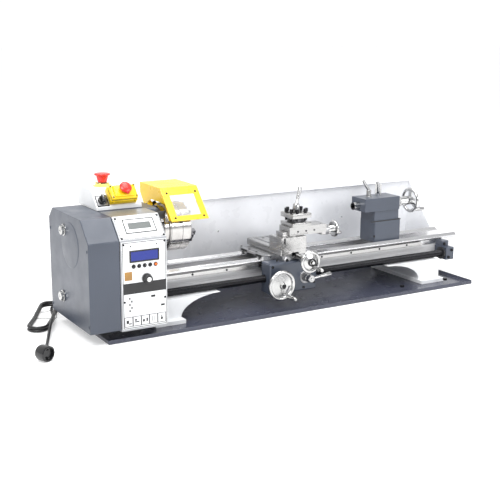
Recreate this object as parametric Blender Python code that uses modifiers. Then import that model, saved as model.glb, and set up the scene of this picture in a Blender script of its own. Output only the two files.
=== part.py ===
"""A metal lathe for the bench: bed on two feet in a chip tray, geared headstock with a
three-jaw chuck, carriage with compound slide, tailstock, guards, controls and mains lead.

Every size below is in millimetres and MM turns it into Blender's metres. +X runs along
the bed from the headstock to the tailstock, -Y is the operator's side, +Z is up, and the
origin is on the floor under the middle of the machine.
"""

import math

import bmesh
import bpy
from mathutils import Euler, Matrix, Vector

MM = 0.001
GAP = 0.3

# Driving dimensions
AXIS_Y = 35.0
AXIS_Z = 227.0
BED_TOP = 120.0
BED_LEFT = -520.0
BED_RIGHT = 615.0
BED_HALF = 52.0
BED_BOTTOM = 65.0
WAY_INNER = 26.0
TRAY_LEFT = -560.0
TRAY_RIGHT = 571.0
TRAY_FRONT = -141.0
TRAY_BACK = 170.0
TRAY_HEIGHT = 12.0
TRAY_FLOOR = 2.5
TRAY_RIM = 7.0
COVER_LEFT = -605.0
COVER_RIGHT = -529.0
HOUSING_RIGHT = -410.0
FRONT_FACE = -146.0
CHUCK_RADIUS = 62.5
CHUCK_BACK = -353.0
CHUCK_FRONT = -282.0
LEADSCREW_Y = -43.0
LEADSCREW_Z = 76.0
LEADSCREW_RADIUS = 10.0
CARRIAGE_LEFT = -70.0
CARRIAGE_RIGHT = 78.0
SLIDE_TOP = 151.0
RISER_TOP = 182.0
COMPOUND_X = 10.0
COMPOUND_Y = -28.0
TOOLPOST_X = 30.0
TOOLPOST_SIDE = 60.0
MOTOR_Y = 62.0
MOTOR_Z = 164.0
PIVOT_Y = 88.0
PIVOT_Z = 276.0
TAIL_LEFT = 319.0
TAIL_RIGHT = 412.0
GEAR_MODULE = 1.5
SPINDLE_TEETH = 32
IDLER_TEETH = 74
LEADSCREW_TEETH = 48
GEAR_LEFT = -578.0
GEAR_RIGHT = -568.0
CORD_RADIUS = 3.75

COLOURS = {
    "paint_grey": ((0.115, 0.135, 0.165), 0.0, 0.40),
    "paint_white": ((0.78, 0.79, 0.79), 0.0, 0.45),
    "steel": ((0.62, 0.62, 0.61), 1.0, 0.28),
    "cast": ((0.42, 0.43, 0.44), 0.9, 0.45),
    "dark_steel": ((0.05, 0.05, 0.055), 0.9, 0.35),
    "sheet": ((0.70, 0.71, 0.72), 0.3, 0.40),
    "yellow": ((0.95, 0.62, 0.01), 0.0, 0.35),
    "red": ((0.80, 0.04, 0.03), 0.0, 0.35),
    "black": ((0.015, 0.015, 0.017), 0.0, 0.45),
    "orange": ((0.85, 0.18, 0.02), 0.0, 0.40),
    "brass": ((0.70, 0.52, 0.22), 1.0, 0.35),
}

TURNS = {
    "yz": Euler((math.pi / 2, 0, math.pi / 2)),
    "xz": Euler((math.pi / 2, 0, 0)),
    "xy": Euler((0, 0, 0)),
}
AXIS_TURNS = {
    "+x": Euler((0, math.pi / 2, 0)),
    "-x": Euler((0, -math.pi / 2, 0)),
    "-y": Euler((math.pi / 2, 0, 0)),
    "+y": Euler((-math.pi / 2, 0, 0)),
    "+z": Euler((0, 0, 0)),
}


# ---------------------------------------------------------------- tools

def clear_scene():
    for obj in list(bpy.data.objects):
        bpy.data.objects.remove(obj, do_unlink=True)


def new_collection(name):
    collection = bpy.data.collections.new(name)
    bpy.context.scene.collection.children.link(collection)
    return collection


def finish_of(name, kind):
    """A Principled material of this piece's own."""
    colour, metallic, roughness = COLOURS[kind]
    material = bpy.data.materials.new(name)
    material.use_nodes = True
    shader = material.node_tree.nodes["Principled BSDF"]
    shader.inputs["Base Color"].default_value = (*colour, 1)
    shader.inputs["Metallic"].default_value = metallic
    shader.inputs["Roughness"].default_value = roughness
    return material


def add(name, mesh, kind, origin=(0, 0, 0)):
    """An object from a mesh in world place, with its origin moved to a point in mm."""
    where = Vector(origin) * MM
    mesh.transform(Matrix.Translation(-where))
    mesh.shade_smooth()
    mesh.set_sharp_from_angle(angle=math.radians(35))
    obj = bpy.data.objects.new(name, mesh)
    obj.location = where
    if kind is None:
        obj.hide_render = True
        obj.display_type = "WIRE"
        cutters.objects.link(obj)
    else:
        mesh.materials.append(finish_of(name, kind))
        parts.objects.link(obj)
    return obj


def box(name, low, high, kind=None, origin=(0, 0, 0), round_edge=0.0):
    low, high = Vector(low) * MM, Vector(high) * MM
    form = bmesh.new()
    bmesh.ops.create_cube(form, size=1)
    bmesh.ops.scale(form, vec=high - low, verts=form.verts)
    bmesh.ops.translate(form, vec=(low + high) / 2, verts=form.verts)
    mesh = bpy.data.meshes.new(name)
    form.to_mesh(mesh)
    form.free()
    obj = add(name, mesh, kind, origin)
    if round_edge:
        soften(obj, round_edge)
    return obj


def soften(obj, width, segments=1, angle=35):
    bevel = obj.modifiers.new("edges", "BEVEL")
    bevel.width = width * MM
    bevel.segments = segments
    bevel.limit_method = "ANGLE"
    bevel.angle_limit = math.radians(angle)


def slab(name, plane, outlines, start, end, kind=None, origin=(0, 0, 0), turn=None):
    """A flat outline, with any holes in it, thickened from start to end across its plane."""
    curve = bpy.data.curves.new(name, "CURVE")
    curve.dimensions = "2D"
    curve.fill_mode = "BOTH"
    curve.extrude = abs(end - start) / 2 * MM
    for outline in outlines:
        spline = curve.splines.new("POLY")
        spline.points.add(len(outline) - 1)
        for point, (across, up) in zip(spline.points, outline):
            point.co = (across * MM, up * MM, 0, 1)
        spline.use_cyclic_u = True
    middle = (start + end) / 2 * MM
    offset = {"yz": (middle, 0, 0), "xz": (0, middle, 0), "xy": (0, 0, middle)}[plane]
    place = Matrix.Translation(offset) @ TURNS[plane].to_matrix().to_4x4()
    return from_curve(name, curve, (turn or Matrix()) @ place, kind, origin)


def from_curve(name, curve, place, kind, origin=(0, 0, 0)):
    """The welded mesh of a curve, in world place."""
    guide = bpy.data.objects.new(name + "_curve", curve)
    bpy.context.scene.collection.objects.link(guide)
    graph = bpy.context.evaluated_depsgraph_get()
    mesh = bpy.data.meshes.new_from_object(guide.evaluated_get(graph))
    bpy.data.objects.remove(guide, do_unlink=True)
    form = bmesh.new()
    form.from_mesh(mesh)
    bmesh.ops.remove_doubles(form, verts=form.verts, dist=1e-6)
    bmesh.ops.transform(form, matrix=place, verts=form.verts)
    bmesh.ops.recalc_face_normals(form, faces=form.faces)
    form.to_mesh(mesh)
    form.free()
    mesh.materials.clear()
    return add(name, mesh, kind, origin)


def turned(name, profile, axis, centre, kind=None, steps=32):
    """A turned piece: (radius, height) points run down its outer side, and a hollow one closes."""
    mesh = bpy.data.meshes.new(name)
    form = bmesh.new()
    points = [form.verts.new((r * MM, 0, h * MM)) for r, h in profile]
    for first, second in zip(points, points[1:]):
        form.edges.new((first, second))
    if min(r for r, _ in profile) > 0:
        form.edges.new((points[-1], points[0]))
    form.to_mesh(mesh)
    form.free()
    obj = add(name, mesh, kind)
    obj.location = Vector(centre) * MM
    obj.rotation_euler = AXIS_TURNS[axis]
    screw = obj.modifiers.new("turn", "SCREW")
    screw.steps = steps
    screw.render_steps = steps
    screw.use_merge_vertices = True
    screw.merge_threshold = 1e-6
    screw.use_smooth_shade = True
    return obj


def rod(name, radius, start, length, axis, kind=None, steps=24):
    """A plain round bar along an axis from its start."""
    profile = [(0, length), (radius, length), (radius, 0), (0, 0)]
    return turned(name, profile, axis, start, kind, steps)


def tube(name, points, radius, kind=None, origin=(0, 0, 0), resolution=2):
    curve = bpy.data.curves.new(name, "CURVE")
    curve.dimensions = "3D"
    curve.bevel_depth = radius * MM
    curve.bevel_resolution = resolution
    curve.use_fill_caps = True
    spline = curve.splines.new("POLY")
    spline.points.add(len(points) - 1)
    for point, where in zip(spline.points, points):
        point.co = (where[0] * MM, where[1] * MM, where[2] * MM, 1)
    return from_curve(name, curve, Matrix(), kind, origin)


def combine(obj, tool, operation="DIFFERENCE"):
    change = obj.modifiers.new(operation.lower() + "_" + tool.name, "BOOLEAN")
    change.operation = operation
    change.object = tool
    change.solver = "EXACT"
    return obj


def join(obj, tool):
    return combine(obj, tool, "UNION")


def circle(y, z, radius, count=24):
    steps = [2 * math.pi * i / count for i in range(count)]
    return [(y + radius * math.cos(a), z + radius * math.sin(a)) for a in steps]


def arc(x, z, radius_x, radius_z, start, end, count):
    """Points of an ellipse's stretch between two angles in degrees."""
    angles = [math.radians(start + (end - start) * i / count) for i in range(count + 1)]
    return [(x + radius_x * math.cos(a), z + radius_z * math.sin(a)) for a in angles]


def smooth(route, spacing):
    """Evenly spaced points on a Catmull-Rom curve through the route's own points."""
    ends = [2 * Vector(route[0]) - Vector(route[1])]
    ends += [Vector(p) for p in route]
    ends += [2 * Vector(route[-1]) - Vector(route[-2])]
    fine = []
    for a, b, c, d in zip(ends, ends[1:], ends[2:], ends[3:]):
        for i in range(20):
            t = i / 20
            fine.append(0.5 * (2 * b + (c - a) * t + (2 * a - 5 * b + 4 * c - d) * t * t
                               + (3 * b - a - 3 * c + d) * t ** 3))
    fine.append(ends[-2])
    lengths = [0.0]
    for a, b in zip(fine, fine[1:]):
        lengths.append(lengths[-1] + (b - a).length)
    count = max(2, round(lengths[-1] / spacing))
    result, k = [], 0
    for i in range(count + 1):
        target = lengths[-1] * i / count
        while k < len(fine) - 2 and lengths[k + 1] < target:
            k += 1
        share = (target - lengths[k]) / (lengths[k + 1] - lengths[k])
        result.append(fine[k].lerp(fine[k + 1], share))
    return result


def inset(outline, distance):
    """The outline of a convex shape, moved inwards by a distance."""
    result = []
    count = len(outline)
    for i in range(count):
        before, here, after = (Vector(outline[(i + k) % count]) for k in (-1, 0, 1))
        first, second = (here - before).normalized(), (after - here).normalized()
        normals = [Vector((-v.y, v.x)) for v in (first, second)]
        mean = (normals[0] + normals[1]).normalized()
        result.append(tuple(here + mean * distance / mean.dot(normals[0])))
    return result


# ---------------------------------------------------------------- bed and stand

def make_tray():
    low = Vector((TRAY_LEFT, TRAY_FRONT, 0)) * MM
    high = Vector((TRAY_RIGHT, TRAY_BACK, TRAY_HEIGHT)) * MM
    form = bmesh.new()
    bmesh.ops.create_cube(form, size=1)
    bmesh.ops.scale(form, vec=high - low, verts=form.verts)
    bmesh.ops.translate(form, vec=(low + high) / 2, verts=form.verts)
    top = [face for face in form.faces if face.normal.z > 0.9]
    bmesh.ops.inset_region(form, faces=top, thickness=TRAY_RIM * MM)
    bmesh.ops.translate(form, vec=(0, 0, (TRAY_FLOOR - TRAY_HEIGHT) * MM), verts=top[0].verts)
    mesh = bpy.data.meshes.new("chip_tray")
    form.to_mesh(mesh)
    form.free()
    add("chip_tray", mesh, "paint_grey")


def make_feet():
    """Two castings with an arch towards the middle of the bed and a flange at their base."""
    depth, pad, reach = 100.0, 75.0, 188.0
    base, top, flange = TRAY_FLOOR + GAP, BED_BOTTOM - GAP, 13.0
    for name, side, outer in (("right_foot", 1, 509), ("left_foot", -1, -408)):
        near, far = outer - side * pad, outer - side * reach
        arch = arc(far, flange, near - far, top - flange, 90, 0, 8)
        outline = [(outer, base), (outer, top)] + arch + [(near, base)]
        foot = slab(name, "xz", [outline], AXIS_Y - depth, AXIS_Y + depth, "paint_white")
        x0, x1 = sorted((outer + side * 4, near - side * 4))
        join(foot, box(name + "_flange", (x0, AXIS_Y - 119, base), (x1, AXIS_Y + 119, flange)))
        if side < 0:
            join(foot, box("left_foot_heel", (-505, -8, base), (-400, 78, top)))


def way(side):
    """One way's section from its outer foot to the inner edge of its wall; side is -1 in front."""
    half, wall = BED_HALF, BED_HALF - 6
    points = [(wall, BED_BOTTOM), (wall, 112), (half, 115.5), (half, 118.6), (44, 126), (36, BED_TOP)]
    points += [(WAY_INNER, BED_TOP), (WAY_INNER, 78)]
    return [(AXIS_Y + side * y, z) for y, z in points]


def make_bed():
    outline = way(-1) + way(1)[::-1]
    slab("bed", "yz", [outline], BED_LEFT, BED_RIGHT, "cast")
    box("rack", (-365, -21, 99.7), (477, -11 - GAP, 111.3), "steel")


def make_leadscrew():
    radius = LEADSCREW_RADIUS
    profile = [(0, 1158), (radius, 1158), (radius, 70), (7, 70), (7, 0), (0, 0)]
    turned("leadscrew", profile, "+x", (-584, LEADSCREW_Y, LEADSCREW_Z), "dark_steel", 24)
    bracket = box("leadscrew_bracket", (538, -62, 58), (567, -11 - GAP, 94), "paint_grey")
    cap = box("bracket_lug", (541, -40, 93), (564, -11 - GAP, 110))
    join(bracket, cap)
    bore = rod("bracket_bore", 10.6, (530, LEADSCREW_Y, LEADSCREW_Z), 60, "+x")
    combine(bracket, bore)


def make_splash_guard():
    back, sheet = 150.0, 1.6
    foot = 160.0
    middle = [(foot, TRAY_FLOOR + GAP), (back, 157), (back, 267), (back - 9, 267)]
    front = [(foot - sheet, TRAY_FLOOR + GAP), (back - sheet, 157), (back - sheet, 267 - sheet),
             (back - 9, 267 - sheet)]
    guard = slab("splash_guard", "yz", [middle + front[::-1]], -345, 560, "sheet")
    wing = [(-3, 100), (-3, 267), (0, 267), (76, 115), (76, 112), (60, 100)]
    turn = Matrix.Translation((560 * MM, (back - 1) * MM, 0)) @ Matrix.Rotation(-math.pi / 4, 4, "Z")
    blade = slab("guard_wing", "xz", [wing], -sheet / 2, sheet / 2, None, turn=turn)
    join(guard, blade)


# ---------------------------------------------------------------- headstock

def make_headstock():
    low, high = (-526, -26, BED_TOP + 6 + GAP), (-375, 97, 291)
    stock = box("headstock", low, high, "paint_grey", round_edge=4)
    for name, radius, start, length in (
        ("spindle_bore", 30 + GAP, (-530, AXIS_Y, AXIS_Z), 170),
        ("motor_bore", 31, (-530, MOTOR_Y, MOTOR_Z), 140),
    ):
        combine(stock, rod(name, radius, start, length, "+x", steps=32))
    pivot = rod("guard_pivot", 5, (-385, PIVOT_Y, PIVOT_Z), 46, "+x", steps=16)
    join(stock, pivot)


def ring(name, inner, outer, start, length, axis, kind, steps=32):
    profile = [(outer, length), (outer, 0), (inner, 0), (inner, length)]
    return turned(name, profile, axis, start, kind, steps)


def make_spindle():
    """The hollow spindle with its belt pulley, its bearings and the chuck on its nose."""
    bore = 10.0
    outer = [(40, 230.7), (40, 218), (26, 211), (18, 208), (18, 52), (30, 52), (30, 38), (18, 38), (12, 30)]
    profile = outer + [(12, 0), (bore, 0), (bore, outer[0][1])]
    turned("spindle", profile, "+x", (-584, AXIS_Y, AXIS_Z), "steel", 32)
    ring("front_bearing", 18 + GAP, 30, (-402, AXIS_Y, AXIS_Z), 14, "+x", "steel")
    ring("rear_bearing", 18 + GAP, 30, (-524, AXIS_Y, AXIS_Z), 14, "+x", "steel")


def make_motor():
    ring("motor", 5 + GAP, 30.5, (-500, MOTOR_Y, MOTOR_Z), 100, "+x", "dark_steel", 28)
    profile = [(0, 140), (5, 140), (5, 14), (14, 12), (14, 0), (0, 0)]
    turned("motor_pulley", profile, "+x", (-546, MOTOR_Y, MOTOR_Z), "steel", 24)


def belt_loop(radius_a, radius_b, count=14):
    """The outline round two pulleys: spindle first, then motor."""
    ay, az, by, bz = AXIS_Y, AXIS_Z, MOTOR_Y, MOTOR_Z
    heading = math.atan2(bz - az, by - ay)
    lean = math.acos((radius_a - radius_b) / math.hypot(by - ay, bz - az))
    points = []
    for i in range(count + 1):
        a = heading + lean + (2 * math.pi - 2 * lean) * i / count
        points.append((ay + radius_a * math.cos(a), az + radius_a * math.sin(a)))
    for i in range(count + 1):
        a = heading - lean + 2 * lean * i / count
        points.append((by + radius_b * math.cos(a), bz + radius_b * math.sin(a)))
    return points


def make_belt():
    inner = belt_loop(30 + GAP, 14 + GAP)
    outer = belt_loop(33, 17)
    slab("drive_belt", "yz", [outer, inner], -545, -534, "black")


def gear_outline(teeth, centre, phase):
    """Straight-sided teeth with clearance, so that a pair in mesh never touches."""
    radius = GEAR_MODULE * teeth / 2
    pitch = 2 * math.pi / teeth
    root, tip = radius - 1.2 * GEAR_MODULE, radius + 0.8 * GEAR_MODULE
    points = []
    for tooth in range(teeth):
        middle = phase + tooth * pitch
        for share, r in ((-0.30, root), (-0.13, tip), (0.13, tip), (0.30, root)):
            a = middle + share * pitch
            points.append((centre[0] + r * math.cos(a), centre[1] + r * math.sin(a)))
    return points


def idler_place():
    """Where the idler meshes with both the spindle's gear and the leadscrew's."""
    near = GEAR_MODULE * (SPINDLE_TEETH + IDLER_TEETH) / 2
    far = GEAR_MODULE * (LEADSCREW_TEETH + IDLER_TEETH) / 2
    line = Vector((LEADSCREW_Y - AXIS_Y, LEADSCREW_Z - AXIS_Z))
    along = (line.length ** 2 + near ** 2 - far ** 2) / (2 * line.length)
    aside = math.sqrt(near ** 2 - along ** 2)
    unit = line.normalized()
    return Vector((AXIS_Y, AXIS_Z)) + unit * along + Vector((-unit.y, unit.x)) * aside


def make_gears():
    spindle = Vector((AXIS_Y, AXIS_Z))
    screw = Vector((LEADSCREW_Y, LEADSCREW_Z))
    idler = idler_place()
    first = math.atan2(idler.y - spindle.y, idler.x - spindle.x)
    second = math.atan2(screw.y - idler.y, screw.x - idler.x)
    idler_phase = first + math.pi + math.pi / IDLER_TEETH
    ahead = idler_phase - second
    screw_phase = second + math.pi + math.pi / LEADSCREW_TEETH - ahead * IDLER_TEETH / LEADSCREW_TEETH
    for name, teeth, place, phase, hole in (
        ("spindle_gear", SPINDLE_TEETH, spindle, first, 12 + GAP),
        ("idler_gear", IDLER_TEETH, idler, idler_phase, 7 + GAP),
        ("leadscrew_gear", LEADSCREW_TEETH, screw, screw_phase, 7 + GAP),
    ):
        outlines = [gear_outline(teeth, place, phase), circle(*place, hole, 20)]
        slab(name, "yz", outlines, GEAR_LEFT, GEAR_RIGHT, "steel", (GEAR_LEFT, *place))


def make_quadrant():
    idler = idler_place()
    outline = [(-64, 60), (-20, 56), (-18, 100), (34, 150), (34, 178), (-40, 190), (-58, 120)]
    holes = [circle(LEADSCREW_Y, LEADSCREW_Z, LEADSCREW_RADIUS + 0.6, 20)]
    plate = slab("gear_quadrant", "yz", [outline] + holes, -560, -554, "cast")
    join(plate, rod("idler_stud", 7, (-583, idler.x, idler.y), 25, "+x", steps=20))
    join(plate, rod("quadrant_post", 8, (-556, -10, 168), 30 - GAP, "+x", steps=16))


def make_chuck():
    radius = CHUCK_RADIUS
    depth = CHUCK_FRONT - CHUCK_BACK
    profile = [(radius - 2, depth), (radius, depth - 2), (radius, 13), (57, 13), (57, 0), (15, 0)]
    body = turned("chuck_body", profile + [(15, depth)], "+x", (CHUCK_BACK, AXIS_Y, AXIS_Z), "steel", 40)
    for index in range(3):
        angle = math.radians(90 + 120 * index)
        spin = Matrix.Translation((0, AXIS_Y * MM, AXIS_Z * MM)) @ Matrix.Rotation(angle, 4, "X") \
            @ Matrix.Translation((0, -AXIS_Y * MM, -AXIS_Z * MM))
        slot = box(f"jaw_slot_{index + 1}", (CHUCK_FRONT - 20, AXIS_Y + 10, AXIS_Z - 6.4),
                   (CHUCK_FRONT + 5, AXIS_Y + 70, AXIS_Z + 6.4))
        slot.matrix_world = spin
        combine(body, slot)
        outline = [(24, -19.5), (58, -19.5), (58, 7), (47, 7), (47, 16), (36, 16), (36, 26), (24, 26)]
        outline = [(CHUCK_FRONT + x, AXIS_Y + r) for r, x in outline]
        jaw = slab(f"jaw_{index + 1}", "xy", [outline], AXIS_Z - 6, AXIS_Z + 6, "dark_steel", turn=spin)
        jaw_origin = (CHUCK_FRONT, AXIS_Y, AXIS_Z)
        jaw.data.transform(Matrix.Translation(-Vector(jaw_origin) * MM))
        jaw.location = Vector(jaw_origin) * MM
        key_angle = math.radians(150 + 120 * index)
        key = rod(f"key_socket_{index + 1}", 6, (-311, 0, 0), 30, "+y", steps=16)
        key.rotation_euler = Euler((key_angle - math.pi / 2, 0, 0))
        reach = 45.0
        key.location = Vector((-311, AXIS_Y + reach * math.cos(key_angle),
                               AXIS_Z + reach * math.sin(key_angle))) * MM
        combine(body, key)


# ---------------------------------------------------------------- covers and controls

def cover_outline():
    return [(FRONT_FACE, 32), (108, 32), (112, 60), (112, 267), (85, 293), (-100, 293), (FRONT_FACE, 244)]


def make_end_cover():
    outline = cover_outline()
    wall = 2.5
    cover = slab("end_cover", "yz", [outline], COVER_LEFT, COVER_RIGHT, "paint_grey",
                 (COVER_LEFT, AXIS_Y, AXIS_Z))
    hollow = slab("cover_hollow", "yz", [inset(outline, wall)], COVER_LEFT + wall, COVER_RIGHT + 5)
    combine(cover, hollow)
    for name, y, z in (("cover_knob_upper", 6, 252), ("cover_knob_lower", 25, 86)):
        profile = [(0, 9.7), (11, 9.7), (14, 8), (14, 2), (12, 0), (0, 0)]
        turned(name, profile, "-x", (COVER_LEFT - GAP, y, z), "steel", 24)


def make_housing():
    """The sheet box behind the control panels, open at its back."""
    left, right, wall = COVER_RIGHT + 1, HOUSING_RIGHT, 2.0
    lower = [(FRONT_FACE, 28), (-60, 28), (-60, 100), (-30, 100), (-30, 293), (-100, 293), (FRONT_FACE, 244)]
    hollow = [(FRONT_FACE + wall, 30), (-55, 30), (-55, 102), (-25, 102), (-25, 291),
              (-99, 291), (FRONT_FACE + wall, 243)]
    housing = slab("control_housing", "yz", [lower], left, right, "sheet")
    combine(housing, slab("housing_hollow", "yz", [hollow], left + wall, right - wall))


BUTTON_X = [-496.0 + 14 * i for i in range(5)]
BUTTON_Z = 182.0
KNOB_X = -464.0
KNOB_Z = 151.0


def make_control_panel():
    face = FRONT_FACE - GAP
    panel = box("control_panel", (-525, face - 1.5, 33), (-412, face, 241), "paint_white")
    for index, x in enumerate(BUTTON_X):
        hole = rod(f"button_hole_{index + 1}", 3.4, (x, face + 2, BUTTON_Z), 5, "-y", steps=16)
        combine(panel, hole)
        kind = "orange" if index == 4 else "black"
        profile = [(0, 4), (2.4, 4), (3, 3.4), (3, 0), (0, 0)]
        turned(f"button_{index + 1}", profile, "-y", (x, face - 1.3, BUTTON_Z), kind, 16)
    profile = [(0, 18), (7, 18), (8, 17), (8.5, 7), (12, 6), (12, 0), (0, 0)]
    turned("speed_knob", profile, "-y", (KNOB_X, face - 1.5 - GAP, KNOB_Z), "black", 24)


def slope_place(x, along, out):
    """A point over the switch housing's slope: along runs up it and out stands off it."""
    foot, lean = Vector((0, -8, 300)), math.atan2(40, 36)
    up = Vector((0, math.cos(lean), math.sin(lean)))
    off = Vector((0, -math.sin(lean), math.cos(lean)))
    return Vector((x, 0, 0)) + foot + up * along + off * out, lean


def on_slope(obj, x, along, out):
    where, lean = slope_place(x, along, out)
    obj.location = where * MM
    obj.rotation_euler = (lean, 0, 0)
    return obj


def make_switch_housing():
    outline = [(-8, 291 + GAP), (116, 291 + GAP), (116, 340), (28, 340), (-8, 300)]
    slab("switch_housing", "yz", [outline], -527, -409, "paint_white")
    on_slope(box("stop_switch_box", (-35, -22, 0), (35, 22, 16), "yellow", round_edge=3), -458, 25, GAP)
    lid = box("stop_switch_lid", (-34, -40, 0.3), (34, 0, 14), "yellow", round_edge=3)
    cap = [(0, 29), (9, 28), (15, 25), (15, 21), (8, 18), (8, 8), (0, 8)]
    button = turned("stop_cap", cap, "+z", (2, -18, 0))
    join(on_slope(lid, -458, 44, 16 + 2 * GAP), on_slope_cap(button, -458, 44, 16 + 2 * GAP))
    dial = [(0, 16), (6, 16), (9, 13), (11, 3), (11, 0), (0, 0)]
    on_slope(turned("rotary_switch", dial, "+z", (0, 0, 0), "black", 20), -508, 17, 1.5)
    cap = [(0, 26), (14, 26), (19.5, 24), (19.5, 20), (13, 13), (11.5, 6), (11.5, 0), (0, 0)]
    turned("e_stop_button", cap, "+z", (-483, 60, 346), "red", 28)


def on_slope_cap(obj, x, along, out):
    """The same place as a lid's, for a tool modelled about the lid's own origin."""
    where, lean = slope_place(x, along, out)
    local = obj.location.copy()
    obj.rotation_euler = (lean, 0, 0)
    obj.location = where * MM + Euler((lean, 0, 0)).to_matrix() @ local
    return obj


def make_guard():
    """The chuck's hood: a folded sheet with a window in its sloping front."""
    left, right, sheet = -353.0, -250.0, 2.0
    outer = [(-58, 258), (8, 331), (126, 331), (126, 306), (102, 276), (96, 265), (78, 286), (60, 296),
             (-20, 296), (-40, 258)]
    roof = [(-58, 258), (8, 331), (126, 331), (126, 306)]
    under = [(126 - sheet, 306), (126 - sheet, 331 - sheet), (9, 331 - sheet), (-56, 256.5)]
    hood = slab("chuck_guard", "yz", [roof + under], left + 1, right, "yellow", (left, PIVOT_Y, PIVOT_Z))
    side = slab("guard_side", "yz", [outer], left, left + sheet)
    join(hood, side)
    hub = rod("guard_hub", 12, (left, PIVOT_Y, PIVOT_Z), 12, "+x", steps=20)
    join(hood, hub)
    combine(hood, rod("guard_hub_bore", 5 + 2 * GAP, (left - 5, PIVOT_Y, PIVOT_Z), 30, "+x", steps=20))
    lean = math.atan2(331 - 258, 8 + 58)
    window = box("guard_window_cut", (-334, 14, -6), (-266, 76, 6))
    window.location = Vector((0, -58, 258)) * MM
    window.rotation_euler = (lean, 0, 0)
    combine(hood, window)


# ---------------------------------------------------------------- carriage

def make_saddle():
    outline = [(-27, 112), (-27, 133), (97, 133), (97, 112), (88, 112), (88, 118.5), (79, 126.6),
               (71, 120.5), (62, 120.5), (62, 126), (8, 126), (8, 120.5), (-1, 120.5), (-9, 126.6),
               (-18, 118.5), (-18, 112)]
    saddle = slab("saddle", "yz", [outline], CARRIAGE_LEFT, CARRIAGE_RIGHT, "cast", (0, AXIS_Y, 0))
    join(saddle, box("saddle_bridge", (-30, -58, 120.5), (38, -20, 133)))
    join(saddle, box("saddle_tail", (-30, 90, 120.5), (38, 112, 133)))
    apron = box("apron", (CARRIAGE_LEFT - 8, -73, 37), (CARRIAGE_RIGHT - 8, -27.5 - GAP, 120), "paint_grey",
                round_edge=3)
    combine(apron, rod("apron_bore", LEADSCREW_RADIUS + 1.5, (-100, LEADSCREW_Y, LEADSCREW_Z), 200, "+x"))


def handwheel(name, radius, centre, axis, offset, handle_length, hub_length, dish, hub=13.0):
    """A dished solid wheel on a hub, with a turned handle near its rim."""
    rim = 9.0
    profile = [(0, dish + 6), (9, dish + 6), (9, dish), (radius - 8, 4), (radius - 8, rim), (radius - 2, rim),
               (radius, rim - 2), (radius, 2), (radius - 2, 0), (radius - 9, 0), (hub, dish - 6),
               (hub, -hub_length), (0, -hub_length)]
    wheel = turned(name, profile, axis, centre, "steel", 30)
    grip = [(0, handle_length), (4, handle_length), (5, handle_length - 1), (5.4, handle_length * 0.6),
            (4, 12), (3.2, 8), (3.2, 3), (0, 3)]
    place = Vector(centre) + Vector(offset)
    join(wheel, turned(name + "_grip", grip, axis, place, None, 12))
    return wheel


def make_handwheels():
    handwheel("apron_handwheel", 40.5, (-55, -91, 66), "-y", (14, 0, -28.7), 50, 17.7, 9)
    handwheel("cross_feed_handwheel", 30, (8, -128, 130), "-y", (12.5, 0, -17), 42, 69.7, 9, 9.5)
    handwheel("top_slide_handwheel", 23, (150, COMPOUND_Y, 185), "+x", (0, 4, -14), 32, 31.7, 8, 9.5)
    handwheel("tailstock_handwheel", 37, (470, AXIS_Y, AXIS_Z), "+x", (0, -8, -28), 52, 63.7, 9)


def make_half_nut_lever():
    profile = [(0, 30), (7, 30), (9, 28), (9, 6), (12, 4), (12, 0), (0, 0)]
    lever = turned("half_nut_lever", profile, "-y", (34, -73 - GAP, 74), "steel", 24)
    points = [(34, -92, 74), (60, -96, 78), (104, -102, 84)]
    arm = tube("half_nut_arm", smooth(points, 20), 4)
    join(lever, arm)


def make_cross_slide():
    left, right = -36.0, 44.0
    slide = box("cross_slide", (left, -60, 133 + GAP), (right, 118, SLIDE_TOP), "steel", (4, 0, 142), 1.5)
    combine(slide, box("screw_channel", (-3.5, -65, 130), (19.5, -6, 141)))
    join(slide, box("compound_riser", (left + 0.4, -59.6, SLIDE_TOP - 1), (right - 0.4, 0, RISER_TOP)))


def make_compound():
    centre = (COMPOUND_X, COMPOUND_Y)
    rail, channel, skirt = 17.0, 17.5, 184.2
    base = box("compound_base", (-22, COMPOUND_Y - rail, 183), (80, COMPOUND_Y + rail, 194), "steel",
               (*centre, RISER_TOP))
    disc = rod("swivel_disc", 27, (*centre, RISER_TOP + GAP), 1.5, "+z", steps=32)
    join(base, disc)
    half = [(26, skirt), (26, 207), (-26, 207), (-26, skirt), (-channel, skirt), (-channel, 194.5),
            (channel, 194.5), (channel, skirt)]
    outline = [(COMPOUND_Y + y, z) for y, z in half]
    top = slab("top_slide", "yz", [outline], -6, 112, "steel", (*centre, 200))
    join(top, box("top_slide_end", (104, COMPOUND_Y - 15, 175), (118, COMPOUND_Y + 15, 204)))


def make_toolpost():
    """Two plates on a square core, so tools go in from all four sides."""
    half, low = TOOLPOST_SIDE / 2, 207 + GAP
    centre = Vector((TOOLPOST_X, COMPOUND_Y, 0))
    post = box("toolpost", centre + Vector((-half, -half, low)), centre + Vector((half, half, 242)), "steel",
               (TOOLPOST_X, COMPOUND_Y, low))
    for index, (x, y) in enumerate(((1, 0), (-1, 0), (0, 1), (0, -1))):
        inner, outer = 17.0, half + 5
        low_corner = [-outer, -outer, 217]
        high_corner = [outer, outer, 230]
        side = (x or y)
        where = 0 if x else 1
        low_corner[where], high_corner[where] = sorted((side * inner, side * outer))
        combine(post, box(f"tool_slot_{index + 1}", centre + Vector(low_corner), centre + Vector(high_corner)))
    profile = [(0, 26), (5, 26), (6, 24), (9, 2), (10, 0), (0, 0)]
    lever = turned("toolpost_lever", profile, "+z", (TOOLPOST_X, COMPOUND_Y, 242 + GAP), "steel", 20)
    points = [(TOOLPOST_X, COMPOUND_Y, 262), (TOOLPOST_X + 6, COMPOUND_Y + 3, 280),
              (TOOLPOST_X + 18, COMPOUND_Y + 9, 308)]
    join(lever, tube("toolpost_grip", smooth(points, 14), 4.2))


# ---------------------------------------------------------------- tailstock

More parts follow.
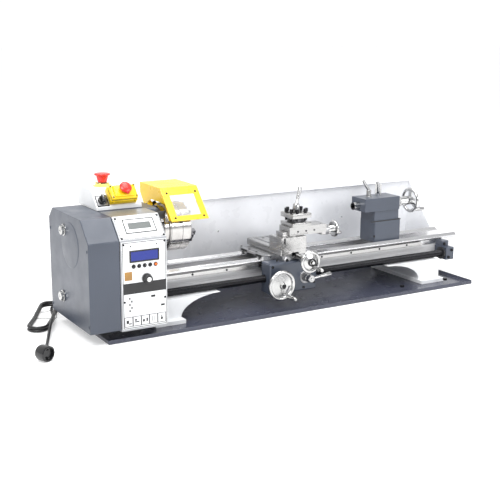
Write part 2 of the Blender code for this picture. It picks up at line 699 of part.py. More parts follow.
def make_tailstock():
    y0, y1 = AXIS_Y - 35, AXIS_Y + 35
    body = box("tailstock_body", (TAIL_LEFT, y0, BED_TOP + 0.5), (TAIL_RIGHT, y1, 184), "paint_grey",
               (365, AXIS_Y, BED_TOP), 2)
    join(body, box("tail_neck", (TAIL_LEFT, y0 + 3, 180), (TAIL_RIGHT - 6, y1 - 3, 214)))
    join(body, box("tail_barrel", (283, y0, 212), (406, y1 - 5, 250)))
    combine(body, rod("quill_bore", 11.4, (270, AXIS_Y, AXIS_Z), 200, "+x"))
    profile = [(11, 118), (11, 0), (8, 0), (6.5, 60), (6.5, 118)]
    turned("quill", profile, "+x", (265, AXIS_Y, AXIS_Z), "steel", 24)
    post = [(0, 19), (6, 19), (7, 17), (7, 1), (0, 1)]
    lock = turned("quill_lock_lever", post, "+z", (320, AXIS_Y, 250), "steel", 20)
    join(lock, tube("quill_lock_grip", [(320, 35, 264), (300, 35, 297)], 4.2))
    hub = [(0, 14), (10, 14), (11, 12), (11, 0), (0, 0)]
    clamp = turned("tailstock_clamp_lever", hub, "+y", (392, AXIS_Y + 35 + GAP, 160), "steel", 20)
    join(clamp, tube("tail_clamp_grip", [(392, 78, 160), (391, 79, 200), (386, 80, 286)], 4))


# ---------------------------------------------------------------- mains lead

EXIT = (-480.0, 108.0, 150.0)
HANK_TOP = Vector((-572.0, 210.0))
HANK_END = Vector((-676.0, 30.0))
HANK_WIDTH = 54.0
HANK_HEIGHT = 23.4
CORD_ROUTE = [EXIT, (-480, 122, 150), (-481, 152, 141), (-485, 182, 104), (-491, 205, 54), (-503, 226, 17),
              (-518, 239, 5.4), (-535, 243, 4.4), (-550, 239.3, 4.1), (-562.3, 227.8, 4.1)]
TAIL_ROUTE = [(-600, 116, 19.4), (-619, 74, 19), (-641, 26, 15.5), (-668, -34, 5), (-700, -112, 6)]
PLUG_RADIUS = 18.0
PLUG_REACH = 62.0


def hank_outline():
    """A stadium between the two ends of the folded lead."""
    radius = HANK_WIDTH / 2
    along = (HANK_END - HANK_TOP).normalized()
    heading = math.degrees(math.atan2(along.y, along.x))
    first = HANK_TOP + along * radius
    last = HANK_END - along * radius
    points = arc(first.x, first.y, radius, radius, heading + 90, heading + 270, 10)
    return points + arc(last.x, last.y, radius, radius, heading - 90, heading + 90, 10)


def aim(obj, place, direction):
    """Puts a piece turned about +z at a place, with its axis along a direction."""
    obj.location = Vector(place) * MM
    obj.rotation_mode = "XYZ"
    obj.rotation_euler = Vector(direction).to_track_quat("Z", "Y").to_euler()
    return obj


def make_lead():
    """The mains lead: its gland, the stretch to the hank, the folded hank with its tail, the plug."""
    gland = [(0, 10.7), (5.5, 10.7), (6.5, 4), (10, 4), (10, 0), (0, 0)]
    turned("cord_gland", gland, "+y", (EXIT[0], 97 + GAP, EXIT[2]), "black", 20)
    along = (HANK_END - HANK_TOP).normalized()
    entry = HANK_TOP - along * GAP
    route = smooth([(x, y + GAP, z) for x, y, z in CORD_ROUTE] + [(entry.x, entry.y, 4.1)], 16)
    tube("mains_cord", route, CORD_RADIUS, "black")
    hank = slab("mains_cord_hank", "xy", [hank_outline()], 0.2, HANK_HEIGHT, "black")
    tail = smooth(TAIL_ROUTE, 18)
    join(hank, tube("mains_cord_tail", tail, CORD_RADIUS))
    heading = (tail[-1] - tail[-2]).normalized()
    start = tail[-1] + heading * 3 * GAP
    flat = Vector((heading.x, heading.y, 0)).normalized()
    centre = Vector((start.x, start.y, 0)) + flat * PLUG_REACH + Vector((0, 0, PLUG_RADIUS + GAP))
    relief = [(0, 58), (9, 58), (8, 40), (4.8, 0), (0, 0)]
    plug = aim(turned("mains_plug", relief, "+z", (0, 0, 0), "black", 16), start, centre - start)
    face = (Vector((-flat.y, flat.x, 0)) + flat).normalized()
    drum = [(0, 30), (16, 30), (PLUG_RADIUS, 27), (PLUG_RADIUS, 5), (13, 0), (0, 0)]
    join(plug, aim(turned("plug_body", drum, "+z", (0, 0, 0), None, 28), centre - face * 15, face))


def build():
    make_tray()
    make_feet()
    make_bed()
    make_leadscrew()
    make_splash_guard()
    make_headstock()
    make_spindle()
    make_motor()
    make_belt()
    make_gears()
    make_quadrant()
    make_chuck()
    make_end_cover()
    make_housing()
    make_control_panel()
    make_switch_housing()
    make_guard()
    make_saddle()
    make_handwheels()
    make_half_nut_lever()
    make_cross_slide()
    make_compound()
    make_toolpost()
    make_tailstock()
    make_lead()


clear_scene()
parts = new_collection("metal_lathe")
cutters = new_collection("metal_lathe_cutters")
build()
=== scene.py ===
"""The looks of the metal lathe: materials, fasteners, displays, knurls, threads and the mains lead.

Every size is in millimetres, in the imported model's frame: +X to the tailstock, -Y to the operator.
"""

import math

import bmesh
import bpy
from mathutils import Euler, Matrix, Vector


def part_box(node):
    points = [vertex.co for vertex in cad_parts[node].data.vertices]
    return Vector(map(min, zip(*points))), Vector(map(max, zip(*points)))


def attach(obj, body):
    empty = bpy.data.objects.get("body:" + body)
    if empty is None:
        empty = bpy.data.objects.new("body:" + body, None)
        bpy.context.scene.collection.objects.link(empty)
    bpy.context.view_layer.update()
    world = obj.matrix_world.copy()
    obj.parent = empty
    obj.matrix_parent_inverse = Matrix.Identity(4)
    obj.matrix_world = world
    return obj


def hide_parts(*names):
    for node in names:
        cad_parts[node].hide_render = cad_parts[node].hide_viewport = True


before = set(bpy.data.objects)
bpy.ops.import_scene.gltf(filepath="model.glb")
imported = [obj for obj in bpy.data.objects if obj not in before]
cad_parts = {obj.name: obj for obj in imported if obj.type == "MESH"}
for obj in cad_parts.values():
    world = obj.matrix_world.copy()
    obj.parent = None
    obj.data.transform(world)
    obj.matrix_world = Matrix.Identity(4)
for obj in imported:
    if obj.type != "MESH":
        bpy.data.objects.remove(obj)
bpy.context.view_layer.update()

MM = 0.001
STEEL, BLACK_STEEL, CHROME, ALLOY = "ground_steel", "blackened_steel", "polished_steel", "aluminium"
BLACK, RUBBER, GREY = "black_plastic", "black_rubber", "grey_paint"


# ---------------------------------------------------------------- camera and light

def make_camera():
    """The photographed view, as a position, a heading and a lens."""
    heading, dip, roll = (math.radians(a) for a in (30.8173, 12.9691, 0.37195))
    forward = Vector((math.sin(heading) * math.cos(dip), math.cos(heading) * math.cos(dip), -math.sin(dip)))
    level = Vector((math.cos(heading), -math.sin(heading), 0))
    upright = level.cross(forward)
    right = level * math.cos(roll) + upright * math.sin(roll)
    top = upright * math.cos(roll) - level * math.sin(roll)
    data = bpy.data.cameras.new("photo_view")
    data.lens = 69.783
    data.sensor_width = 36
    camera = bpy.data.objects.new("photo_view", data)
    camera.matrix_world = Matrix(((right.x, top.x, -forward.x, -1.37665),
                                  (right.y, top.y, -forward.y, -2.14738),
                                  (right.z, top.z, -forward.z, 0.72253),
                                  (0, 0, 0, 1)))
    bpy.context.scene.collection.objects.link(camera)
    bpy.context.scene.camera = camera


def make_light(name, place, target, size, power, colour=(1, 1, 1)):
    data = bpy.data.lights.new(name, "AREA")
    data.shape = "RECTANGLE"
    data.size, data.size_y = size
    data.energy = power
    data.color = colour
    light = bpy.data.objects.new(name, data)
    light.location = place
    light.rotation_euler = (Vector(target) - Vector(place)).to_track_quat("-Z", "Y").to_euler()
    bpy.context.scene.collection.objects.link(light)


def make_studio():
    world = bpy.data.worlds.new("studio")
    bpy.context.scene.world = world
    world.use_nodes = True
    tree = world.node_tree
    background = tree.nodes["Background"]
    background.inputs["Strength"].default_value = 1.0
    direction = tree.nodes.new("ShaderNodeTexCoord")
    parts = tree.nodes.new("ShaderNodeSeparateXYZ")
    ramp = tree.nodes.new("ShaderNodeValToRGB")
    shift = tree.nodes.new("ShaderNodeMapRange")
    shift.inputs["From Min"].default_value = -1
    ramp.color_ramp.elements[0].position = 0.25
    ramp.color_ramp.elements[0].color = (0.50, 0.51, 0.53, 1)
    ramp.color_ramp.elements[1].position = 0.62
    ramp.color_ramp.elements[1].color = (1.05, 1.05, 1.05, 1)
    tree.links.new(direction.outputs["Generated"], parts.inputs["Vector"])
    tree.links.new(parts.outputs["Y"], shift.inputs["Value"])
    tree.links.new(shift.outputs["Result"], ramp.inputs["Fac"])
    tree.links.new(ramp.outputs["Color"], background.inputs["Color"])
    make_light("key", (-1.9, -1.5, 2.5), (0, 0, 0.1), (1.2, 1.2), 70)
    make_light("fill", (1.3, -2.4, 1.2), (0, 0, 0.15), (1.6, 0.9), 34)
    make_light("top", (0.1, 0.0, 2.6), (0, 0, 0.1), (2.6, 1.4), 62)
    bpy.context.scene.view_settings.view_transform = "Standard"
    floor = bpy.data.meshes.new("floor")
    form = bmesh.new()
    bmesh.ops.create_grid(form, x_segments=1, y_segments=1, size=30)
    form.to_mesh(floor)
    form.free()
    plane = bpy.data.objects.new("floor", floor)
    bpy.context.scene.collection.objects.link(plane)
    paper = plain("floor", (0.66, 0.66, 0.66), 0.0, 0.8)
    shader = paper.node_tree.nodes["Principled BSDF"]
    shader.inputs["Emission Color"].default_value = (1, 1, 1, 1)
    shader.inputs["Emission Strength"].default_value = 0.42
    plane.data.materials.append(paper)


# ---------------------------------------------------------------- materials

def plain(name, colour, metallic, roughness):
    material = bpy.data.materials.new(name)
    material.use_nodes = True
    shader = material.node_tree.nodes["Principled BSDF"]
    shader.inputs["Base Color"].default_value = (*colour, 1)
    shader.inputs["Metallic"].default_value = metallic
    shader.inputs["Roughness"].default_value = roughness
    return material


class Finish:
    """A Principled material whose colour, roughness and bump come from procedural textures."""

    def __init__(self, name, colour, metallic=0.0, roughness=0.4, **socket_hole_shade):
        self.material = plain(name, colour, metallic, roughness)
        self.colour, self.roughness = colour, roughness
        self.tree = self.material.node_tree
        self.shader = self.tree.nodes["Principled BSDF"]
        self.height = None
        for socket, value in socket_hole_shade.items():
            self.shader.inputs[socket.replace("_", " ")].default_value = value

    def node(self, kind, **inputs):
        made = self.tree.nodes.new("ShaderNode" + kind)
        for socket, value in inputs.items():
            made.inputs[socket.replace("_", " ")].default_value = value
        return made

    def link(self, out, into):
        self.tree.links.new(out, into)

    def place(self, scale=(1, 1, 1), centre=(0, 0, 0)):
        """Object coordinates in metres about a centre given in millimetres, stretched by a scale."""
        coordinates = self.node("TexCoord")
        mapping = self.node("Mapping", Scale=scale)
        mapping.inputs["Location"].default_value = [-c * MM * s for c, s in zip(centre, scale)]
        self.link(coordinates.outputs["Object"], mapping.inputs["Vector"])
        return mapping.outputs["Vector"]

    def noise(self, size, stretch=(1, 1, 1), detail=3.0):
        """Noise whose features are about size millimetres across, longer where stretch is under 1."""
        made = self.node("TexNoise", Scale=1 / (size * MM), Detail=detail)
        self.link(self.place(stretch), made.inputs["Vector"])
        return made.outputs["Fac"]

    def rings(self, spacing, axis, centre):
        """Turning marks about an axis along X, Y or Z."""
        made = self.node("TexWave", Scale=1 / (spacing * MM) / 3.14, Distortion=0.6, Detail=2.0)
        made.wave_type = "RINGS"
        made.rings_direction = axis
        self.link(self.place(centre=centre), made.inputs["Vector"])
        return made.outputs["Fac"]

    def spread(self, value, low, high, start=0.3, end=0.7):
        made = self.node("MapRange")
        for socket, number in zip(("From Min", "From Max", "To Min", "To Max"), (start, end, low, high)):
            made.inputs[socket].default_value = number
        self.link(value, made.inputs["Value"])
        return made.outputs["Result"]

    def vary_roughness(self, value, amount):
        self.link(self.spread(value, max(0.02, self.roughness - amount), self.roughness + amount),
                  self.shader.inputs["Roughness"])
        return self

    def blend(self, share, colour, other):
        mix = self.node("Mix")
        mix.data_type = "RGBA"
        mix.inputs[6].default_value = (*colour, 1)
        mix.inputs[7].default_value = (*other, 1)
        self.link(share, mix.inputs[0])
        self.link(mix.outputs[2], self.shader.inputs["Base Color"])

    def vary_colour(self, value, other, start=0.35, end=0.65):
        self.blend(self.spread(value, 0, 1, start, end), self.colour, other)
        return self

    def bump(self, value, depth, strength=1.0):
        """Adds a relief of about depth millimetres."""
        made = self.node("Bump", Strength=strength, Distance=depth * MM)
        self.link(value, made.inputs["Height"])
        if self.height is not None:
            self.link(self.height, made.inputs["Normal"])
        self.height = made.outputs["Normal"]
        self.link(self.height, self.shader.inputs["Normal"])
        return self


def shade(colour, factor):
    return tuple(min(1.0, c * factor) for c in colour)


def enamel(name, colour, roughness=0.38, peel=0.05):
    made = Finish(name, colour, 0.0, roughness, Coat_Weight=0.15, Coat_Roughness=0.25)
    made.vary_colour(made.noise(130, detail=4), shade(colour, 0.86))
    made.vary_roughness(made.noise(38), 0.06)
    made.bump(made.noise(2.6, detail=2), peel)
    return made.bump(made.noise(60), 0.25).material


def brushed(name, colour, roughness, along="x", metallic=1.0, depth=0.006):
    """Metal ground or brushed along one axis."""
    stretch = {"x": (0.02, 1, 1), "y": (1, 0.02, 1), "z": (1, 1, 0.02)}[along]
    made = Finish(name, colour, metallic, roughness)
    made.vary_colour(made.noise(45, stretch), shade(colour, 0.78))
    made.vary_roughness(made.noise(2.2, stretch, 4), 0.09)
    return made.bump(made.noise(0.7, stretch, 4), depth).material


def lathed(name, colour, roughness, axis, centre, spacing=0.9, metallic=1.0, depth=0.02):
    """Metal turned about an axis, with its fine tool marks."""
    made = Finish(name, colour, metallic, roughness)
    made.vary_colour(made.noise(30), shade(colour, 0.84))
    made.vary_roughness(made.noise(6), 0.06)
    return made.bump(made.rings(spacing, axis, centre), depth).material


def moulded(name, colour, roughness=0.42, grain=0.9, depth=0.03):
    made = Finish(name, colour, 0.0, roughness)
    made.vary_colour(made.noise(25), shade(colour, 0.85))
    made.vary_roughness(made.noise(9), 0.07)
    return made.bump(made.noise(grain, detail=4), depth).material


def bed_iron():
    """Ground ways above the rack. Below it the sides are lighter and less metallic: a painted reflection, the
    sheen of the ground surface put into their colour.
    """
    made = Finish("bed_iron", (0.60, 0.60, 0.61), 1.0, 0.24)
    height = made.node("SeparateXYZ")
    made.link(made.place(), height.inputs["Vector"])
    rack_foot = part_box("rack")[0].z
    lower = made.spread(height.outputs["Z"], 1, 0, rack_foot - 0.003, rack_foot)
    streak = made.noise(1.6, (0.01, 1, 1), 4)
    # Painted reflection: below the rack the colour turns lighter and the metal duller, standing in for the
    # sheen of the ground sides.
    made.blend(lower, (0.64, 0.64, 0.65), (0.70, 0.70, 0.71))
    made.link(made.spread(lower, 1.0, 0.25, 0, 1), made.shader.inputs["Metallic"])
    made.vary_roughness(streak, 0.08)
    return made.bump(streak, 0.012).material


def glass_like(name, colour, roughness, alpha):
    made = Finish(name, colour, 0.0, roughness, Alpha=alpha, Coat_Weight=0.6)
    return made.vary_roughness(made.noise(20), 0.02).material


def screen(name, colour, glow):
    """A dot-matrix display behind its cover: a fine grid over a lit colour."""
    made = Finish(name, colour, 0.0, 0.30, Coat_Weight=0.2, Coat_Roughness=0.1)
    grid = made.node("TexBrick", Scale=1.0, Mortar_Size=0.06, Bias=0.0)
    grid.offset = 0.0
    grid.inputs["Color1"].default_value = (*colour, 1)
    grid.inputs["Color2"].default_value = (*shade(colour, 0.92), 1)
    grid.inputs["Mortar"].default_value = (*shade(colour, 0.7), 1)
    grid.inputs["Brick Width"].default_value = 0.9
    grid.inputs["Row Height"].default_value = 0.9
    turn = made.node("Mapping", Scale=(1000, 1000, 1000))
    turn.inputs["Rotation"].default_value = (math.pi / 2, 0, 0)
    coordinates = made.node("TexCoord")
    made.link(coordinates.outputs["Object"], turn.inputs["Vector"])
    made.link(turn.outputs["Vector"], grid.inputs["Vector"])
    made.link(grid.outputs["Color"], made.shader.inputs["Base Color"])
    made.shader.inputs["Emission Color"].default_value = (*colour, 1)
    made.shader.inputs["Emission Strength"].default_value = glow
    return made.material


def make_materials():
    axis = (0, 35, 227)
    steel, alloy = (0.50, 0.495, 0.49), (0.58, 0.58, 0.575)
    return {
        "grey": enamel("grey_enamel", (0.052, 0.063, 0.088), 0.34),
        "tray": enamel("tray_enamel", (0.040, 0.044, 0.068), 0.24, 0.006),
        "white": enamel("white_enamel", (0.86, 0.87, 0.88), 0.40),
        "panel": enamel("white_panel", (0.80, 0.81, 0.82), 0.34, 0.008),
        "sheet": enamel("guard_sheet", (0.74, 0.75, 0.78), 0.30, 0.006),
        "housing": brushed("housing_sheet", (0.42, 0.43, 0.45), 0.34, "x", 0.85),
        "yellow": enamel("yellow_enamel", (0.92, 0.60, 0.005), 0.30, 0.03),
        "yellow_plastic": moulded("yellow_plastic", (0.92, 0.62, 0.005), 0.36),
        "pale_yellow": moulded("pale_yellow_plastic", (0.85, 0.76, 0.25), 0.45),
        "red": moulded("red_plastic", (0.72, 0.028, 0.02), 0.30, 1.4, 0.015),
        "orange": moulded("orange_plastic", (0.90, 0.16, 0.015), 0.34),
        "amber": moulded("amber_label", (0.36, 0.19, 0.045), 0.4),
        "black": moulded("black_plastic", (0.014, 0.014, 0.016), 0.40),
        "gloss_black": moulded("gloss_black", (0.010, 0.010, 0.011), 0.22, 2.0, 0.01),
        "ink": moulded("printed_black", (0.012, 0.012, 0.013), 0.35, 2.0, 0.004),
        "pale_ink": moulded("printed_grey", (0.36, 0.37, 0.38), 0.4, 2.0, 0.004),
        "plate": brushed("engraved_plate", (0.40, 0.40, 0.41), 0.35, "x", 0.8),
        "rubber": moulded("black_rubber", (0.016, 0.016, 0.017), 0.58, 0.5, 0.04),
        "cord": moulded("cord_jacket", (0.012, 0.012, 0.013), 0.38, 3.0, 0.03),
        "steel": brushed("ground_steel", steel, 0.24),
        "steel_y": brushed("ground_steel_across", steel, 0.26, "y"),
        "bright": brushed("bright_screws", (0.66, 0.66, 0.65), 0.2, "z"),
        "cast": brushed("machined_iron", (0.52, 0.52, 0.53), 0.32, "y"),
        "bed": bed_iron(),
        "dark": brushed("blackened_steel", (0.030, 0.030, 0.033), 0.26, "x", 0.85),
        "jaw": brushed("jaw_steel", (0.16, 0.16, 0.17), 0.28, "x"),
        "chuck": lathed("chuck_steel", (0.56, 0.545, 0.53), 0.17, "X", axis, 0.8),
        "spindle": lathed("spindle_steel", steel, 0.22, "X", axis),
        "chrome": lathed("quill_chrome", (0.66, 0.66, 0.66), 0.10, "X", axis, 1.2, 1.0, 0.006),
        "tail_wheel": lathed("tail_wheel_chrome", (0.62, 0.62, 0.62), 0.13, "X", axis, 1.5, 1.0, 0.01),
        "apron_wheel": lathed("apron_wheel_alloy", alloy, 0.22, "Y", (-55, 0, 66)),
        "cross_wheel": lathed("cross_wheel_alloy", alloy, 0.20, "Y", (8, 0, 130)),
        "top_wheel": lathed("top_wheel_alloy", alloy, 0.20, "X", (0, -28, 185)),
        "grip": brushed("grip_steel", (0.50, 0.50, 0.50), 0.24, "x"),
        "motor": enamel("motor_paint", (0.03, 0.03, 0.032), 0.45),
        "window": glass_like("clear_window", (0.93, 0.95, 0.96), 0.06, 0.16),
        "blue": screen("blue_display", (0.001, 0.014, 0.20), 0.25),
        "grey_lcd": screen("grey_display", (0.085, 0.098, 0.095), 0.0),
    }


# ---------------------------------------------------------------- shapes

class Node:
    """A CAD node's box in millimetres."""

    def __init__(self, name):
        low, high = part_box(name)
        self.x0, self.y0, self.z0 = (v / MM for v in low)
        self.x1, self.y1, self.z1 = (v / MM for v in high)
        self.x, self.y, self.z = ((a + b) / 2 / MM for a, b in zip(low, high))


TURN = {"+x": Euler((0, math.pi / 2, 0)), "-x": Euler((0, -math.pi / 2, 0)), "-y": Euler((math.pi / 2, 0, 0)),
        "+y": Euler((-math.pi / 2, 0, 0)), "+z": Euler((0, 0, 0)), "-z": Euler((math.pi, 0, 0))}


def stand(centre, axis="+z", spin=0.0):
    """A place whose own +Z runs along an axis, or along any vector."""
    if isinstance(axis, str):
        turn = TURN[axis].to_matrix()
    else:
        turn = Vector(axis).to_track_quat("Z", "Y").to_matrix()
    return Matrix.Translation(centre) @ turn.to_4x4() @ Matrix.Rotation(spin, 4, "Z")


class Form:
    """One piece's mesh, put together in millimetres from simple solids."""

    def __init__(self):
        self.mesh = bmesh.new()

    def box(self, low, high, edge=0.0, place=None, segments=2):
        low, high = Vector(low), Vector(high)
        made = bmesh.ops.create_cube(self.mesh, size=1)["verts"]
        bmesh.ops.scale(self.mesh, vec=high - low, verts=made)
        bmesh.ops.translate(self.mesh, vec=(low + high) / 2, verts=made)
        if edge:
            edges = list({e for v in made for e in v.link_edges})
            result = bmesh.ops.bevel(self.mesh, geom=edges, offset=edge, segments=segments, affect="EDGES",
                                     profile=0.5)
            made = list({v for f in result["faces"] for v in f.verts})
        if place is not None:
            bmesh.ops.transform(self.mesh, matrix=place, verts=made)
        return self

    def turned(self, profile, place, steps=48, shape=None):
        """Turns (radius, height) points, given top to bottom down the outside, about the place's Z."""
        rows = []
        closed = min(r for r, _ in profile) > 0
        for radius, height in profile:
            if radius <= 1e-6:
                rows.append([self.mesh.verts.new((0, 0, height))])
                continue
            row = []
            for i in range(steps):
                a = 2 * math.pi * i / steps
                r = radius * (shape(i, height) if shape else 1)
                row.append(self.mesh.verts.new((r * math.cos(a), r * math.sin(a), height)))
            rows.append(row)
        pairs = list(zip(rows, rows[1:])) + ([(rows[-1], rows[0])] if closed else [])
        for upper, lower in pairs:
            for i in range(steps):
                j = (i + 1) % steps
                if len(upper) == 1 and len(lower) == 1:
                    break
                if len(upper) == 1:
                    self.mesh.faces.new((upper[0], lower[i], lower[j]))
                elif len(lower) == 1:
                    self.mesh.faces.new((upper[i], lower[0], upper[j]))
                else:
                    self.mesh.faces.new((upper[i], lower[i], lower[j], upper[j]))
        made = [v for row in rows for v in row]
        bmesh.ops.transform(self.mesh, matrix=place, verts=made)
        return self

    def disc(self, radius, low, high, place, steps=24):
        """A plain disc or pin between two heights."""
        return self.turned([(0, high), (radius, high), (radius, low), (0, low)], place, steps)

    def capped(self, radius, low, high, inset, drop, place, steps=40):
        """A disc or boss whose top edge is cut back by inset and down by drop."""
        edge = [(radius - inset, high), (radius, high - drop), (radius, low)]
        return self.turned([(0, high), *edge, (0, low)], place, steps)

    def ring(self, inner, outer, low, high, place, steps=48, shape=None):
        return self.turned([(outer, high), (outer, low), (inner, low), (inner, high)], place, steps, shape)

    def rod(self, radius, start, length, axis, edge=0.4, steps=32):
        profile = [(0, length), (radius - edge, length), (radius, length - edge), (radius, edge),
                   (radius - edge, 0), (0, 0)]
        return self.turned(profile, stand(start, axis), steps)

    def prism(self, outline, low, high, place, hole=None):
        """A flat outline of (across, up) points between two heights. A hole has as many points."""
        rings = []
        for points in [outline] + ([hole] if hole else []):
            rings.append([[self.mesh.verts.new((x, y, z)) for x, y in points] for z in (high, low)])
        outer = rings[0]
        count = len(outline)
        for i in range(count):
            j = (i + 1) % count
            self.mesh.faces.new((outer[0][i], outer[1][i], outer[1][j], outer[0][j]))
            if hole:
                inner = rings[1]
                self.mesh.faces.new((inner[0][j], inner[1][j], inner[1][i], inner[0][i]))
                self.mesh.faces.new((outer[0][i], outer[0][j], inner[0][j], inner[0][i]))
                self.mesh.faces.new((outer[1][j], outer[1][i], inner[1][i], inner[1][j]))
        if not hole:
            self.mesh.faces.new(outer[0])
            self.mesh.faces.new(outer[1][::-1])
        made = [v for ring in rings for row in ring for v in row]
        bmesh.ops.transform(self.mesh, matrix=place, verts=made)
        return self

    def tube(self, points, radius, sides=16):
        """A round bar along points; radius is one number or one for each point."""
        points = [Vector(p) for p in points]
        radii = radius if isinstance(radius, list) else [radius] * len(points)
        heading = (points[1] - points[0]).normalized()
        side = heading.orthogonal().normalized()
        rows = []
        for i, point in enumerate(points):
            before, after = points[max(0, i - 1)], points[min(len(points) - 1, i + 1)]
            ahead = (after - before).normalized()
            side = (side - ahead * side.dot(ahead)).normalized()
            other = ahead.cross(side)
            angles = [2 * math.pi * k / sides for k in range(sides)]
            rows.append([self.mesh.verts.new(point + (side * math.cos(a) + other * math.sin(a)) * radii[i])
                         for a in angles])
        for first, second in zip(rows, rows[1:]):
            for k in range(sides):
                n = (k + 1) % sides
                self.mesh.faces.new((first[k], first[n], second[n], second[k]))
        self.mesh.faces.new(rows[0][::-1])
        self.mesh.faces.new(rows[-1])
        return self

    def frame(self, x0, z0, x1, z1, width, low, high, place):
        """A flat rectangular border, standing from low to high over its place."""
        outer = [(x0, z0), (x1, z0), (x1, z1), (x0, z1)]
        inner = [(x0 + width, z0 + width), (x1 - width, z0 + width), (x1 - width, z1 - width),
                 (x0 + width, z1 - width)]
        return self.prism(outer, low, high, place, inner)

    def done(self, name, finish, body, slot, edge=0.0, angle=35, replaces=(), segments=2):
        """The finished piece, riding on a body."""
        bmesh.ops.transform(self.mesh, matrix=Matrix.Scale(MM, 4), verts=self.mesh.verts)
        bmesh.ops.recalc_face_normals(self.mesh, faces=self.mesh.faces)
        data = bpy.data.meshes.new(name)
        self.mesh.to_mesh(data)
        self.mesh.free()
        data.shade_smooth()
        data.set_sharp_from_angle(angle=math.radians(angle))
        data.materials.append(looks[finish])
        piece = bpy.data.objects.new(name, data)
        bpy.context.scene.collection.objects.link(piece)
        if edge:
            soften(piece, edge, segments)
        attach(piece, body)
        if replaces:
            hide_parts(*([replaces] if isinstance(replaces, str) else replaces))
        return piece


def soften(piece, width, segments=2, angle=35):
    bevel = piece.modifiers.new("edges", "BEVEL")
    bevel.width = width * MM
    bevel.segments = segments
    bevel.limit_method = "ANGLE"
    bevel.angle_limit = math.radians(angle)
    bevel.harden_normals = True
    bevel.use_clamp_overlap = True


def keep(node, finish, edge=0.0, segments=2):
    """A CAD node that stays: its material, and its edges rounded by a modifier."""
    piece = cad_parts[node]
    piece.data.materials.clear()
    piece.data.materials.append(looks[finish])
    if "custom_normal" in piece.data.attributes:
        piece.data.attributes.remove(piece.data.attributes["custom_normal"])
    weld = piece.modifiers.new("weld", "WELD")
    weld.merge_threshold = 1e-5
    piece.data.shade_smooth()
    soften(piece, edge or 0.15, segments)
    return piece


def smooth_path(route, spacing):
    """Points at an even spacing on a Catmull-Rom curve through the route's own points."""
    ends = [2 * Vector(route[0]) - Vector(route[1])]
    ends += [Vector(p) for p in route]
    ends += [2 * Vector(route[-1]) - Vector(route[-2])]
    fine = []
    for a, b, c, d in zip(ends, ends[1:], ends[2:], ends[3:]):
        for i in range(20):
            t = i / 20
            fine.append(0.5 * (2 * b + (c - a) * t + (2 * a - 5 * b + 4 * c - d) * t * t
                               + (3 * b - a - 3 * c + d) * t ** 3))
    fine.append(ends[-2])
    lengths = [0.0]
    for a, b in zip(fine, fine[1:]):
        lengths.append(lengths[-1] + (b - a).length)
    count = max(2, round(lengths[-1] / spacing))
    result, k = [], 0
    for i in range(count + 1):
        target = lengths[-1] * i / count
        while k < len(fine) - 2 and lengths[k + 1] < target:
            k += 1
        share = (target - lengths[k]) / (lengths[k + 1] - lengths[k])
        result.append(fine[k].lerp(fine[k + 1], share))
    return result


def socket_screw(form, head, place, length=1.0):
    """A socket head: a cylinder with a round hole in its top and a hexagonal floor in the hole."""
    around = [(math.cos(a), math.sin(a)) for a in (2 * math.pi * i / 24 for i in range(24))]
    outer = [(head * x, head * y) for x, y in around]
    hole = [(head * 0.5 * x, head * 0.5 * y) for x, y in around]
    form.prism(outer, 0, length, place, hole)
    form.disc(head * 0.6, 0, length * 0.45, place, 6)


def pan_screw(form, head, place, height=0.9):
    """A plain domed head."""
    form.turned([(0, height), (head * 0.55, height * 0.95), (head * 0.85, height * 0.6), (head, 0.15),
                 (head, 0), (0, 0)], place, 20)


def screws_at(name, finish, body, slot, screw, head, height, places):
    """One piece made of the same screw or rivet at every place."""
    form = Form()
    for place in places:
        screw(form, head, place, height)
    form.done(name, finish, body, slot)


# ---------------------------------------------------------------- mains lead

CORD_RADIUS = 3.75
EXIT = (-480.0, 108.0, 150.0)
HANK_TOP = Vector((-572.0, 210.0, 0))
HANK_END = Vector((-676.0, 30.0, 0))
CORD_ROUTE = [EXIT, (-480, 122, 150), (-481, 152, 141), (-485, 182, 104), (-491, 205, 54), (-503, 226, 17),
              (-518, 239, 5.4), (-535, 243, 4.4), (-550, 239.3, 4.1), (-562.3, 227.8, 4.1)]
TAIL_ROUTE = [(-600, 116, 19.4), (-619, 74, 19), (-641, 26, 15.5), (-668, -34, 5), (-700, -112, 6)]
ALONG_HANK = (HANK_END - HANK_TOP).normalized()
ACROSS_HANK = Vector((-ALONG_HANK.y, ALONG_HANK.x, 0))


def hank_turns():
    """The folded lead: two turns, each lying on the one below and climbing a layer at the far fold."""
    fold, layer, lowest, steps = 22.9, 7.65, 4.1, 8
    far = HANK_TOP + ALONG_HANK * 27
    straight = (HANK_END - HANK_TOP).length - 54
    points = []

    def point(side, ahead, height):
        points.append(far + ACROSS_HANK * side + ALONG_HANK * ahead + Vector((0, 0, height)))

    for share in (0.0, 0.12, 0.3, 0.5, 0.7, 0.88, 1.0):
        point(fold * share * share * (3 - 2 * share), 112 * share - 27, lowest)
    for turn in range(2):
        height = lowest + layer * turn
        for ahead in range(105 if turn == 0 else 12, int(straight) - 6, 16):
            point(fold, ahead, height)
        for step in range(steps + 1):
            angle = math.pi * step / steps
            point(fold * math.cos(angle), straight + fold * math.sin(angle), height)
        for ahead in range(int(straight) - 14, 8, -16):
            climb = max(0.0, 1 - ahead / (0.62 * straight))
            point(-fold, ahead, height + layer * climb * climb * (3 - 2 * climb))
        for step in range(steps + 1):
            angle = math.pi * step / steps
            point(-fold * math.cos(angle), -fold * math.sin(angle), height + layer)
    for ahead in (16, 32, 48):
        point(fold, ahead, lowest + 2 * layer)
    return points


def make_lead():
    route = [(x, y + 0.3, z) for x, y, z in CORD_ROUTE]
    path = smooth_path([*route, *hank_turns(), *TAIL_ROUTE], 4)
    form = Form().tube(path, CORD_RADIUS, 14)
    lead = form.done("mains_lead", "cord", "machine", RUBBER, replaces=("mains_cord", "mains_cord_hank"))
    plug = make_plug(path[-1], (path[-1] - path[-4]).normalized())
    make_tie()
    make_strain_relief()


